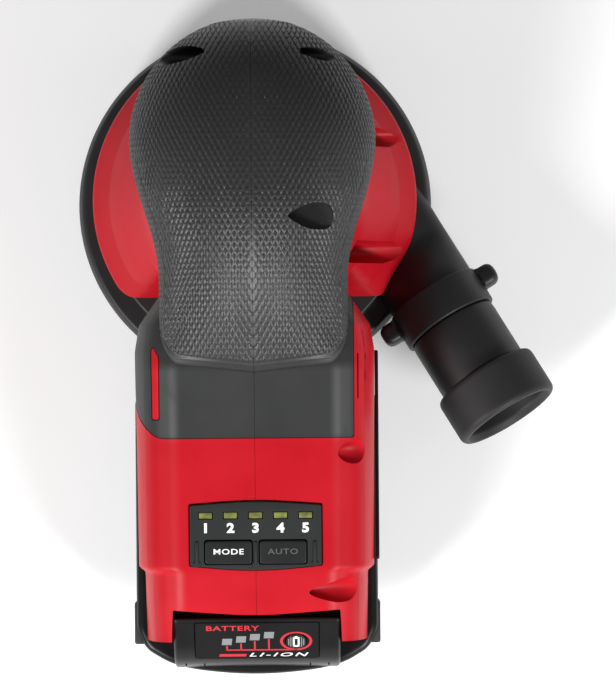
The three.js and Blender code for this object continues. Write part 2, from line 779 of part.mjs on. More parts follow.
const FOAM_BOTTOM = HOOK_THICKNESS + GAP;
const FOAM_TOP = HOOK_THICKNESS + FOAM_THICKNESS;
const PLATE_BOTTOM = FOAM_TOP + GAP;
const PLATE_TOP = PLATE_BOTTOM + PLATE_THICKNESS;
const HUB_BOTTOM = PLATE_TOP + GAP;

const onPad = (radius, degrees) => {
  const [x, y] = polar(radius, degrees);
  return [x + ORBIT / 2, y];
};
const PAD_SCREWS = [30, 150, 270].map((turn) => onPad(PAD_SCREW_CIRCLE, turn));

function padLayer(radius, low, high, screwHole) {
  const dust = Array.from({ length: DUST_HOLES }, (_, i) =>
    disc(DUST_HOLE_RADIUS, low - 1, high + 1, 8, onPad(DUST_CIRCLE, (i * 360) / DUST_HOLES)),
  );
  const screws = PAD_SCREWS.map((place) => disc(screwHole, low - 1, high + 1, 8, place));
  return disc(radius, low, high, 40, PAD_CENTRE).subtract(union(...dust, ...screws));
}

function padHub() {
  const cup = turned(
    [
      [0, HUB_BOTTOM],
      [20, HUB_BOTTOM],
      [20, HUB_BOTTOM + 4],
      [17, HUB_BOTTOM + 12],
      [14 + GAP, HUB_BOTTOM + 12],
      [14 + GAP, HUB_BOTTOM + 4],
      [0, HUB_BOTTOM + 4],
    ],
    28,
    PAD_CENTRE,
  );
  const holes = PAD_SCREWS.map((place) => disc(2 + GAP, 0, HUB_BOTTOM + 3, 10, place));
  return cup.subtract(union(...holes));
}

// ---- Fasteners ----

function sideScrew({ y, z, seat }) {
  const head = rod([seat + GAP, y, z], [seat + 3, y, z], SCREW_HEAD, 12);
  const socket = rod([seat + 1.6, y, z], [seat + 4, y, z], 1.3, 6);
  return head.add(rod([-SCREW_REACH + 2, y, z], [seat + 1, y, z], SCREW_SHANK, 8)).subtract(socket);
}

function uprightScrew([x, y], low, headRadius, headHeight, radius, length) {
  const head = disc(headRadius, low, low + headHeight, 12, [x, y]);
  const socket = disc(headRadius * 0.45, low - 1, low + headHeight * 0.6, 6, [x, y]);
  return head.add(disc(radius, low + 1, low + length, 8, [x, y])).subtract(socket);
}

// ---- Electronics ----

function controllerTray() {
  const low = BODY_DECK + GAP;
  const tray = box([-25, -97, low], [25, -72, low + 6]);
  return tray.subtract(box([-23.6, -95.6, low + 1.4], [23.6, -73.4, low + 9]));
}

function controllerBoard() {
  const low = BODY_DECK + GAP + 1.4 + GAP;
  const parts = [-15, -5, 5, 15].map((x) => box([x - 3, -92, low + 1], [x + 3, -86, low + 4.6]));
  const can = disc(4.5, low + 1, low + 9, 14, [0, -79.5]);
  return union(box([-23.2, -95.2, low], [23.2, -73.8, low + 1.6]), ...parts, can);
}

function terminalBlock() {
  const block = box(
    [-TERMINAL_HALF, NECK_REAR - 6, TERMINAL_LOW],
    [TERMINAL_HALF, NECK_REAR + 4, TERMINAL_HIGH],
  );
  const flange = box(
    [-TERMINAL_HALF - 2, NECK_REAR + WALL + GAP, TERMINAL_LOW - 2],
    [TERMINAL_HALF + 2, NECK_REAR + WALL + 2, TERMINAL_HIGH + 1],
  );
  const blades = [-10, 0, 10].map((x) =>
    box([x - 0.5, NECK_REAR - 13, 54.6], [x + 0.5, NECK_REAR - 5, 60.6]),
  );
  return union(block, flange, ...blades);
}

function powerSwitch() {
  const back = WAIST_RADIUS - 10;
  return union(
    box([-7, back - 9, POWER_Z + 0.5], [7, back + 0.5, POWER_Z + 7]),
    box([-2, back, POWER_Z + 0.8], [2, back + 1.6, POWER_Z + 3.4]),
  );
}

function powerButton() {
  const face = WAIST_RADIUS + SKIRT_Y + 0.6;
  const cap = box(
    [-POWER_HALF, WAIST_RADIUS - 6, POWER_Z - POWER_HEIGHT],
    [POWER_HALF, face, POWER_Z + POWER_HEIGHT],
  );
  const dish = rod([0, face + 9, POWER_Z - 8], [0, face + 9, POWER_Z + 8], 9.6, 24);
  return cap.subtract(dish);
}

// ---- Control panel, in its own tilted frame: z = 0 is the panel's face ----

const WINDOW_Y = 7.2;
const BUTTON_Y = -5.6;
const windowPlaces = () => [-2, -1, 0, 1, 2].map((i) => i * WINDOW_PITCH);

function controlPanel() {
  const windows = windowPlaces().map((x) =>
    box([x - 2.6, WINDOW_Y - 1.4, -9], [x + 2.6, WINDOW_Y + 1.4, 2]),
  );
  const buttons = [-1, 1].map((side) =>
    box(
      [side * BUTTON_X - BUTTON_WIDTH / 2 - GAP, BUTTON_Y - BUTTON_LENGTH / 2 - GAP, -9],
      [side * BUTTON_X + BUTTON_WIDTH / 2 + GAP, BUTTON_Y + BUTTON_LENGTH / 2 + GAP, 2],
    ),
  );
  return prism(panelOutline(0), -PANEL_THICKNESS, 0).subtract(union(...windows, ...buttons));
}

function lightPipe() {
  const lenses = windowPlaces().map((x) =>
    box([x - 2.3, WINDOW_Y - 1.1, -PANEL_THICKNESS - 0.6], [x + 2.3, WINDOW_Y + 1.1, -0.2]),
  );
  const top = -PANEL_THICKNESS - GAP;
  return union(box([-20.5, WINDOW_Y - 2, top - 1.2], [20.5, WINDOW_Y + 2, top]), ...lenses);
}

function panelButton(side) {
  const x = side * BUTTON_X;
  const top = -PANEL_THICKNESS - GAP;
  const cap = box(
    [x - BUTTON_WIDTH / 2, BUTTON_Y - BUTTON_LENGTH / 2, top - 0.5],
    [x + BUTTON_WIDTH / 2, BUTTON_Y + BUTTON_LENGTH / 2, 0.6],
  );
  const flange = box(
    [x - BUTTON_WIDTH / 2 - 0.8, BUTTON_Y - BUTTON_LENGTH / 2 - 0.8, top - 0.9],
    [x + BUTTON_WIDTH / 2 + 0.8, BUTTON_Y + BUTTON_LENGTH / 2 + 0.8, top],
  );
  return cap.add(flange);
}

const BOARD_TOP = -PANEL_THICKNESS - GAP - 0.9 - BUTTON_TRAVEL - 0.9;

function controlBoard() {
  const board = box([-21, -10.5, BOARD_TOP - 1.6], [21, 10.5, BOARD_TOP]);
  const switches = [-1, 1].map((side) =>
    disc(2.4, BOARD_TOP - 0.5, BOARD_TOP + 0.6, 12, [side * BUTTON_X, BUTTON_Y]),
  );
  return union(board, ...switches);
}

// ---- Battery ----

const packOutline = (inset) => {
  const half = PACK_HALF - inset;
  const front = PACK_FRONT - inset;
  const back = PACK_REAR + inset;
  return [
    [-half + 4, front],
    [-half, front - 4],
    [-half, back + 18],
    [-half + 3.5, back + 9],
    [-half * 0.7, back + 2],
    [0, back],
    [half * 0.7, back + 2],
    [half - 3.5, back + 9],
    [half, back + 18],
    [half, front - 4],
    [half - 4, front],
  ].reverse();
};

const HUMP_FRONT = BODY_CUT_Y - 2.9;
const HUMP_REAR = -160;
const HUMP_TOP = 71.5;
const HUMP_LOW = 59.5;
const HUMP_HALF = RAIL_HALF + 1;
const GAUGE_SLOPE = Math.atan2(HUMP_TOP - HUMP_LOW, HUMP_FRONT - 1 - HUMP_REAR);
const GAUGE_FRAME = new THREE.Matrix4()
  .makeRotationX(GAUGE_SLOPE)
  .setPosition(0, (HUMP_FRONT - 1 + HUMP_REAR) / 2, (HUMP_TOP + HUMP_LOW) / 2);
const GAUGE_HALF = 21.5;
const GAUGE_LENGTH = 8.6;
const GAUGE_BUTTON_X = 13.6;

const LATCH_Y = [-155, -140];
const LATCH_Z = [PACK_SPLIT + 2, PACK_TOP - 2.6];

function latchPocket(side) {
  const inner = side * (PACK_HALF - 9.2);
  const outer = side * (PACK_HALF + 5);
  return box(
    [Math.min(inner, outer), LATCH_Y[0] - GAP, LATCH_Z[0] - GAP],
    [Math.max(inner, outer), LATCH_Y[1] + GAP, LATCH_Z[1] + GAP],
  );
}

function batteryTop() {
  const deck = prism(packOutline(0), PACK_SPLIT + GAP, PACK_TOP);
  const hump = slab(
    [
      [HUMP_FRONT, PACK_TOP - 1],
      [HUMP_FRONT, HUMP_TOP],
      [HUMP_FRONT - 1, HUMP_TOP],
      [HUMP_REAR, HUMP_LOW],
      [PACK_REAR + 3, PACK_TOP - 1],
    ],
    -HUMP_HALF,
    HUMP_HALF,
  );
  const rails = union(
    box([-RAIL_HALF, HUMP_FRONT - 1, RAIL_STEP_Z], [RAIL_HALF, PACK_FRONT - 1, RAIL_TOP]),
    box([-RAIL_NECK_HALF, HUMP_FRONT - 1, PACK_TOP - 1], [RAIL_NECK_HALF, PACK_FRONT - 1, RAIL_STEP_Z + 1]),
  );
  const hollow = prism(packOutline(WALL), PACK_SPLIT - 1, PACK_TOP - WALL);
  const sockets = box(
    [-TERMINAL_HALF - 2, PACK_FRONT - 12, TERMINAL_LOW - 1.4],
    [TERMINAL_HALF + 2, PACK_FRONT + 1, RAIL_TOP + 1],
  );
  const latchWalls = [-1, 1].map((side) =>
    box(
      [side > 0 ? PACK_HALF - 10.4 : -PACK_HALF + 1, LATCH_Y[0] - 2, PACK_SPLIT + GAP],
      [side > 0 ? PACK_HALF - 1 : -PACK_HALF + 10.4, LATCH_Y[1] + 2, PACK_TOP - 1],
    ),
  );
  const cells = box(
    [-CELL_LENGTH / 2 - 1, PACK_REAR + 8, 0],
    [CELL_LENGTH / 2 + 1, PACK_FRONT - 3, PACK_TOP - WALL],
  );
  const gaugeSeat = box(
    [-GAUGE_HALF - GAP, -GAUGE_LENGTH - GAP, -1.7],
    [GAUGE_HALF + GAP, GAUGE_LENGTH + GAP, 8],
    GAUGE_FRAME,
  );
  const buttonWell = rod([GAUGE_BUTTON_X, 0, -4], [GAUGE_BUTTON_X, 0, 8], 4.2, 16, 4.2, GAUGE_FRAME);
  return union(deck, hump, rails)
    .subtract(hollow.subtract(union(...latchWalls)))
    .subtract(union(sockets, cells, gaugeSeat, buttonWell, latchPocket(-1), latchPocket(1)));
}

function batteryBottom() {
  const tray = prism(packOutline(0), PACK_BOTTOM, PACK_SPLIT);
  return tray.subtract(prism(packOutline(WALL), PACK_BOTTOM + WALL, PACK_SPLIT + 5));
}

function cellPack() {
  const z = PACK_BOTTOM + WALL + GAP + CELL_RADIUS;
  const pitch = 2 * CELL_RADIUS + 0.1;
  const places = Array.from({ length: CELLS }, (_, i) => PACK_FRONT - WALL - GAP - CELL_RADIUS - i * pitch);
  const half = CELL_LENGTH / 2;
  const cells = places.map((y) => rod([-half, y, z], [half, y, z], CELL_RADIUS, 16));
  const straps = [-1, 1].map((side) =>
    box(
      [Math.min(side * (half - 1), side * (half + 0.4)), places.at(-1) - 4, z - 3],
      [Math.max(side * (half - 1), side * (half + 0.4)), places[0] + 4, z + 3],
    ),
  );
  return union(...cells, ...straps);
}

function gaugePanel() {
  const plate = box([-GAUGE_HALF, -GAUGE_LENGTH, -1.4], [GAUGE_HALF, GAUGE_LENGTH, 0.3]);
  return plate.subtract(rod([GAUGE_BUTTON_X, 0, -3], [GAUGE_BUTTON_X, 0, 3], 3.9, 16));
}

function gaugeButton() {
  const cap = rod([GAUGE_BUTTON_X, 0, -2.6], [GAUGE_BUTTON_X, 0, 0.9], 3.5, 16);
  return cap;
}

function latch(side) {
  const inner = side * (PACK_HALF - 5.6);
  const outer = side * (PACK_HALF + 0.8);
  return box(
    [Math.min(inner, outer), LATCH_Y[0], LATCH_Z[0]],
    [Math.max(inner, outer), LATCH_Y[1], LATCH_Z[1]],
  );
}

function sideBadge() {
  const left = BODY_HALF + GAP;
  return box([left, -125, BODY_BOTTOM + 1], [left + 1.1, -52, BODY_SHOULDER_Z + 3]);
}

// ---- Assembly ----

const finish = (color, roughness, metalness = 0) =>
  new THREE.MeshStandardMaterial({ color, roughness, metalness });

const FINISHES = {
  redPlastic: () => finish(0xd6222e, 0.35),
  gripRubber: () => finish(0x2b2b2c, 0.8),
  bandRubber: () => finish(0x3a3a3a, 0.7),
  blackPlastic: () => finish(0x222223, 0.5),
  darkPlastic: () => finish(0x34383a, 0.5),
  steel: () => finish(0xb8bcc0, 0.3, 1),
  blackSteel: () => finish(0x2a2a2c, 0.4, 1),
  aluminium: () => finish(0xc8cacc, 0.4, 1),
  copper: () => finish(0xb5652a, 0.35, 1),
  foam: () => finish(0x3c3c3e, 0.95),
  hook: () => finish(0x4a4a4c, 1),
  lens: () => finish(0x8c8a4a, 0.2),
  board: () => finish(0x1e5a34, 0.5),
  cell: () => finish(0x2f6fb0, 0.4),
  wire: () => finish(0x1a1a1a, 0.5),
};

function piece(name, shape, material) {
  const { numProp, vertProperties, triVerts } = shape.simplify(SIMPLIFY).getMesh();
  const positions = [];
  for (let i = 0; i < vertProperties.length; i += numProp) {
    positions.push(...vertProperties.slice(i, i + 3));
  }
  const geometry = new THREE.BufferGeometry();
  geometry.setAttribute("position", new THREE.Float32BufferAttribute(positions, 3));
  geometry.setIndex([...triVerts]);
  geometry.computeVertexNormals();
  const mesh = new THREE.Mesh(geometry, FINISHES[material]());
  mesh.name = name;
  return mesh;
}

function framed(matrix, ...meshes) {
  const group = new THREE.Group();
  group.applyMatrix4(matrix);
  return group.add(...meshes);
}

const sander = new THREE.Group();
const add = (...meshes) => sander.add(...meshes);

const [housingShell, gripSkin, bandSkin] = [housing(), grip(), band()];
for (const [side, half] of [["left", LEFT_HALF], ["right", RIGHT_HALF]]) {
  add(
    piece(`${side}_housing`, housingShell.intersect(half), "redPlastic"),
    piece(`${side}_grip`, gripSkin.intersect(half), "gripRubber"),
    piece(`${side}_band`, bandSkin.intersect(half), "bandRubber"),
  );
}
add(piece("side_badge", sideBadge(), "blackPlastic"));

add(
  piece("shroud", shroud(), "blackPlastic"),
  piece("brake_seal", ring(47, 49, PLATE_TOP + GAP, SHROUD_BOTTOM + 8.4 - GAP, 36), "gripRubber"),
);

add(
  framed(
    PORT_FRAME,
    piece("lock_ring", lockRing(), "blackPlastic"),
    piece("hose_adapter", hoseAdapter(), "blackPlastic"),
    piece("adapter_cuff", adapterCuff(), "gripRubber"),
  ),
);

const plateSeat = BEARING_PLATE_Z + 2.5;
add(
  piece("bearing_plate", bearingPlate(), "aluminium"),
  piece(
    "lower_bearing",
    bearing(SHAFT_RADIUS + GAP, BEARING_RADIUS, plateSeat, plateSeat + BEARING_HEIGHT),
    "steel",
  ),
  piece(
    "upper_bearing",
    bearing(SHAFT_RADIUS + GAP, BEARING_RADIUS, UPPER_SEAT_Z, UPPER_SEAT_Z + BEARING_HEIGHT),
    "steel",
  ),
  piece("stator", stator(), "blackSteel"),
  piece("windings", windings(), "copper"),
  piece("motor_shaft", motorShaft(), "steel"),
  piece("rotor", rotor(), "blackSteel"),
  piece("dust_fan", dustFan(), "darkPlastic"),
  piece("counterweight", counterweight(), "steel"),
);

add(
  piece("pad_bearing", bearing(5 + GAP, 14, HUB_BOTTOM + 4.3, HUB_BOTTOM + 11.3, PAD_CENTRE), "steel"),
  piece("pad_hub", padHub(), "aluminium"),
  piece("pad_plate", padLayer(58.5, PLATE_BOTTOM, PLATE_TOP, 2 + GAP), "blackPlastic"),
  piece("pad_foam", padLayer(PAD_RADIUS, FOAM_BOTTOM, FOAM_TOP, 4.6), "foam"),
  piece("hook_face", padLayer(PAD_RADIUS, 0, HOOK_THICKNESS, 4.6), "hook"),
);
PAD_SCREWS.forEach((place, i) => {
  const low = FOAM_TOP - 2.6;
  add(piece(`pad_screw_${i + 1}`, uprightScrew(place, low, 4, 2.6, 2, 8.6), "steel"));
});

HOUSING_SCREWS.forEach((screw, i) => {
  add(piece(`housing_screw_${i + 1}`, sideScrew(screw), "blackSteel"));
});
SHROUD_SCREWS.forEach((place, i) => {
  const low = SHROUD_DECK - 2 - GAP - 2.4;
  add(piece(`shroud_screw_${i + 1}`, uprightScrew(place, low, 3, 2.4, SCREW_SHANK, 15), "blackSteel"));
});

add(
  piece("controller_tray", controllerTray(), "aluminium"),
  piece("controller_board", controllerBoard(), "board"),
  piece("terminal_block", terminalBlock(), "darkPlastic"),
  piece("power_switch", powerSwitch(), "darkPlastic"),
  piece("power_button", powerButton(), "darkPlastic"),
);

add(
  framed(
    PANEL_FRAME,
    piece("control_panel", controlPanel(), "darkPlastic"),
    piece("light_pipe", lightPipe(), "lens"),
    piece("control_board", controlBoard(), "board"),
    piece("mode_button", panelButton(-1), "blackPlastic"),
    piece("auto_button", panelButton(1), "blackPlastic"),
  ),
);

const windingTop = STATOR_BOTTOM + STATOR_HEIGHT + 4;
[-7, 0, 7].forEach((x, i) => {
  const route = [
    [x, -21, windingTop + 1.6],
    [x, -34, windingTop + 2.6],
    [x, -52, windingTop + 1],
    [x, -69.4, windingTop - 2],
  ];
  add(piece(`motor_lead_${i + 1}`, lead(route, 1.2), "wire"));
});
[-1, 1].forEach((side, i) => {
  const route = [
    [side * 12, NECK_REAR + 5.2, 57.6],
    [side * 12, NECK_REAR + 11, 58],
    [side * 13, NECK_REAR + 13, 66],
    [side * 14, NECK_REAR + 4, 71],
    [side * 15, -71.4, 71],
  ];
  add(piece(`battery_lead_${i + 1}`, lead(route, 1.6), "wire"));
});
add(piece("button_ribbon", box([-5, -103.6, BODY_DECK + 4], [5, -97.4, BODY_DECK + 4.6]), "wire"));

add(
  piece("battery_top", batteryTop(), "blackPlastic"),
  piece("battery_bottom", batteryBottom(), "blackPlastic"),
  piece("cell_pack", cellPack(), "cell"),
  piece("latch_left", latch(-1), "gripRubber"),
  piece("latch_right", latch(1), "gripRubber"),
  framed(
    GAUGE_FRAME,
    piece("gauge_panel", gaugePanel(), "darkPlastic"),
    piece("gauge_button", gaugeButton(), "gripRubber"),
  ),
);

export default sander;
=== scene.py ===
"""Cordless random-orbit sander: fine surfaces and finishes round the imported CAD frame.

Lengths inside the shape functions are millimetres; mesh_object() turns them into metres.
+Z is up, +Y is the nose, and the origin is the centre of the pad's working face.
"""

import json
import math

import bpy
import numpy as np
from mathutils import Matrix, Vector


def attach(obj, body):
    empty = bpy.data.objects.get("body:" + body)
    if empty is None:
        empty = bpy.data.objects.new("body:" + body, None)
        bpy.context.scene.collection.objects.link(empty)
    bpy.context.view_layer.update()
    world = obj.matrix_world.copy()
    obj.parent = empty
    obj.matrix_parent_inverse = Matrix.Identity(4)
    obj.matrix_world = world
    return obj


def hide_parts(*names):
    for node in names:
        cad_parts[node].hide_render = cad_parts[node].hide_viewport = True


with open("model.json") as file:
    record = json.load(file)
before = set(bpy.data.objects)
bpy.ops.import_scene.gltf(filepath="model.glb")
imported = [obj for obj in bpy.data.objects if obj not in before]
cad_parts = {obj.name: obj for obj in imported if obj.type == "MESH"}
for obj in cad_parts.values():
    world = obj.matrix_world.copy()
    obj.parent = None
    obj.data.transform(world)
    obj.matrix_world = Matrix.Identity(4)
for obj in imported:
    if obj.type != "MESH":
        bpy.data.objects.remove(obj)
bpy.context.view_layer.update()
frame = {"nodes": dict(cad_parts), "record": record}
MM = 0.001

# ---- Sizes of the tool, in millimetres ----

SKIRT_RADIUS = 57.5
SKIRT_Y = 1.5
SKIRT_BOTTOM = 28.0
WAIST_RADIUS = 37.0
SHROUD_RADIUS = 63.0
SHROUD_BOTTOM = 9.6
SHROUD_DECK = 35.5
PALM_RADIUS = 42.3
PALM_Y = 20.0
PALM_TAIL_HALF = 32.5
PALM_TAPER = 47.0
PALM_BOTTOM = 82.0
LIP_Z = 87.0
CREST_Z = 124.5
CREST_Y = 3.0
CREST_FALL = 28.5
PALM_TAIL_Y = -60.0
NOSE_Y = PALM_Y + PALM_RADIUS
BODY_HALF = 41.5
BODY_BOTTOM = 50.6
BODY_REAR = -153.0
BAND_REAR = -82.0
BAND_RIGHT = 33.0
CUT_Y = -141.5
SEAM = 0.05
PORT_OFFSET = 37.0
PORT_ANGLE = math.radians(-58.7)
PORT_RISE = math.radians(12.6)
PORT_RADIUS = 16.2
PORT_START = 60.0
PORT_Z = 31.4
PACK_HALF = 42.5
PACK_FRONT = -64.0
PACK_REAR = -166.0
PACK_BOTTOM = 24.0
PACK_TOP = 50.0
PACK_SPLIT = 35.0
ORBIT_OFFSET = 1.2


# ---- Meshes ----


def mesh_object(name, points, faces):
    """An object at the origin from an array of points in millimetres and a list of faces."""
    mesh = bpy.data.meshes.new(name)
    mesh.from_pydata((np.asarray(points) * MM).tolist(), [], faces)
    mesh.validate()
    thing = bpy.data.objects.new(name, mesh)
    bpy.context.scene.collection.objects.link(thing)
    return thing


def face_outwards(thing):
    """Turns a closed mesh's faces outwards: the signed volume of its fans has to be positive."""
    mesh = thing.data
    mesh.calc_loop_triangles()
    corners = np.empty(len(mesh.loop_triangles) * 3, int)
    mesh.loop_triangles.foreach_get("vertices", corners)
    points = np.empty(len(mesh.vertices) * 3)
    mesh.vertices.foreach_get("co", points)
    a, b, c = points.reshape(-1, 3)[corners.reshape(-1, 3)].transpose(1, 0, 2)
    if np.einsum("ij,ij->i", a, np.cross(b, c)).sum() < 0:
        mesh.flip_normals()
    return thing


def skin(name, grid, capped=True, closed=False):
    """A solid over a grid of rings (rings, points, 3): quads between rings, and a flat face on each end.

    With closed, the last ring joins the first and there are no ends.
    """
    rings, count, _ = grid.shape
    ring, point = np.meshgrid(np.arange(rings - (not closed)), np.arange(count), indexing="ij")
    here = ring * count
    there = (ring + 1) % rings * count
    after = (point + 1) % count
    quads = np.stack([here + point, here + after, there + after, there + point], -1)
    faces = quads.reshape(-1, 4).tolist()
    if capped and not closed:
        faces.append(list(range(count))[::-1])
        faces.append(list(range((rings - 1) * count, rings * count)))
    return face_outwards(mesh_object(name, grid.reshape(-1, 3), faces))


def rounded(corners, steps=6):
    """A polyline of (u, v, radius) corners with each corner replaced by a quadratic curve.

    The curve starts and ends at the corner's radius (at most half a side) away along each side.
    """
    out = []
    count = len(corners)
    spots = np.array([c[:2] for c in corners], float)
    for i, corner in enumerate(corners):
        before, here, after = spots[i - 1], spots[i], spots[(i + 1) % count]
        if corner[2] <= 0:
            out.append(here[None])
            continue
        back, on = before - here, after - here
        reach_back = min(corner[2], np.linalg.norm(back) / 2.01)
        reach_on = min(corner[2], np.linalg.norm(on) / 2.01)
        start = here + back / np.linalg.norm(back) * reach_back
        end = here + on / np.linalg.norm(on) * reach_on
        t = np.linspace(0, 1, steps + 1)[:, None]
        out.append(start * (1 - t) ** 2 + here * 2 * t * (1 - t) + end * t**2)
    return np.concatenate(out)


def turned(name, corners, segments=128, centre=(0.0, 0.0), steps=6):
    """A closed profile of (radius, height, rounding) corners turned about an upright axis."""
    profile = rounded(corners, steps)
    turn = np.linspace(0, 2 * np.pi, segments, endpoint=False)[:, None]
    radius, height = profile[:, 0], profile[:, 1]
    grid = np.stack(
        [
            centre[0] + radius * np.cos(turn),
            centre[1] + radius * np.sin(turn),
            height + 0 * turn,
        ],
        -1,
    )
    return skin(name, grid, closed=True)


def inset_outline(outline, distance):
    """A closed outline moved inwards: each point shifts along the mean normal of its two sides."""
    side = np.roll(outline, -1, 0) - outline
    normal = np.stack([-side[:, 1], side[:, 0]], -1)
    normal /= np.linalg.norm(normal, axis=1, keepdims=True) + 1e-9
    mean = normal + np.roll(normal, 1, 0)
    length = np.einsum("ij,ij->i", mean, mean)[:, None]
    area = np.einsum("i,i->", outline[:, 0], np.roll(outline[:, 1], -1)) - np.einsum(
        "i,i->", outline[:, 1], np.roll(outline[:, 0], -1)
    )
    inward = 1 if area > 0 else -1
    return outline + inward * distance * 2 * mean / np.maximum(length, 0.8)


def pillow(name, corners, low, high, top_round=0.6, bottom_round=0.3, steps=5, place=None):
    """An outline of (x, y, rounding) corners raised between two heights with rounded rims.

    Each rim is a quarter circle: the outline steps inwards by r(1 - sin) while the height
    climbs by r(1 - cos).
    """
    outline = rounded(corners, steps)
    turn = np.linspace(0, np.pi / 2, steps)
    rings = []
    for t in turn:
        ring = inset_outline(outline, bottom_round * (1 - math.sin(t)))
        rings.append(np.c_[ring, np.full(len(ring), low + bottom_round * (1 - math.cos(t)))])
    for t in turn[::-1]:
        ring = inset_outline(outline, top_round * (1 - math.sin(t)))
        rings.append(np.c_[ring, np.full(len(ring), high - top_round * (1 - math.cos(t)))])
    grid = np.array(rings)
    if place is not None:
        grid = put(grid, place)
    return skin(name, grid)


def box_corners(x0, x1, y0, y1, rounding):
    return [(x0, y0, rounding), (x1, y0, rounding), (x1, y1, rounding), (x0, y1, rounding)]


def put(points, place):
    """Points in millimetres moved by a 4x4 matrix whose translation is in millimetres."""
    matrix = np.array(place)
    return points @ matrix[:3, :3].T + matrix[:3, 3]


def rod(name, start, end, radius, tall=None, sides=40):
    """An elliptical bar between two points: radius across, tall along the upright."""
    start, end = np.array(start, float), np.array(end, float)
    along = (end - start) / np.linalg.norm(end - start)
    up = np.array([0.0, 0, 1]) if abs(along[2]) < 0.9 else np.array([0.0, 1, 0])
    across = np.cross(along, up)
    across /= np.linalg.norm(across)
    up = np.cross(across, along)
    turn = np.linspace(0, 2 * np.pi, sides, endpoint=False)[:, None]
    ring = radius * np.cos(turn) * across + (tall or radius) * np.sin(turn) * up
    return skin(name, np.array([start + ring, end + ring]))


def change(thing, kind, **settings):
    """Applies one modifier to an object and keeps the mesh that it makes."""
    modifier = thing.modifiers.new(kind.lower(), kind)
    for key, value in settings.items():
        setattr(modifier, key, value)
    graph = bpy.context.evaluated_depsgraph_get()
    made = bpy.data.meshes.new_from_object(thing.evaluated_get(graph))
    thing.modifiers.clear()
    old, thing.data = thing.data, made
    bpy.data.meshes.remove(old)
    return thing


def combine(thing, others, operation):
    """Joins with, cuts by, or keeps the part shared with each of the other solids."""
    for other in others:
        change(thing, "BOOLEAN", operation=operation, object=other, solver="MANIFOLD")
        bpy.data.objects.remove(other)
    return thing


def cut(thing, *others):
    return combine(thing, others, "DIFFERENCE")


def join(thing, *others):
    return combine(thing, others, "UNION")


def keep(thing, *others):
    return combine(thing, others, "INTERSECT")


def block(low, high, name="cutter"):
    """A plain box used as a cutter."""
    x0, y0, z0 = low
    x1, y1, z1 = high
    ring = np.array([[x0, y0], [x1, y0], [x1, y1], [x0, y1]])
    grid = np.array([np.c_[ring, np.full(4, z)] for z in (z0, z1)])
    return skin(name, grid)


def build(thing, body, finish, stands_for=(), crease=35.0):
    """Gives a finished piece its body, its material, and smooth shading up to a crease angle."""
    mesh = thing.data
    mesh.materials.clear()
    mesh.materials.append(finish)
    mesh.shade_smooth()
    mesh.set_sharp_from_angle(angle=math.radians(crease))
    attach(thing, body)
    if stands_for:
        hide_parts(*stands_for)
    return thing


# ---- Shader sums written as Python expressions ----


class Wire:
    """One socket of a material; sums with it add Math nodes."""

    def __init__(self, finish, socket):
        self.finish = finish
        self.socket = socket

    def maths(self, operation, *values):
        node = {"operation": operation}
        return self.finish.node("ShaderNodeMath", node, dict(enumerate(values)))

    def __add__(self, other):
        return self.maths("ADD", self, other)

    def __radd__(self, other):
        return self.maths("ADD", other, self)

    def __sub__(self, other):
        return self.maths("SUBTRACT", self, other)

    def __rsub__(self, other):
        return self.maths("SUBTRACT", other, self)

    def __mul__(self, other):
        return self.maths("MULTIPLY", self, other)

    def __rmul__(self, other):
        return self.maths("MULTIPLY", other, self)

    def __truediv__(self, other):
        return self.maths("DIVIDE", self, other)

    def between(self, low, high):
        """0 below low, 1 above high, and a straight ramp from one to the other."""
        clamp = {"operation": "MULTIPLY_ADD", "use_clamp": True}
        scale = 1 / (high - low)
        return self.finish.node("ShaderNodeMath", clamp, {0: self, 1: scale, 2: -low * scale})


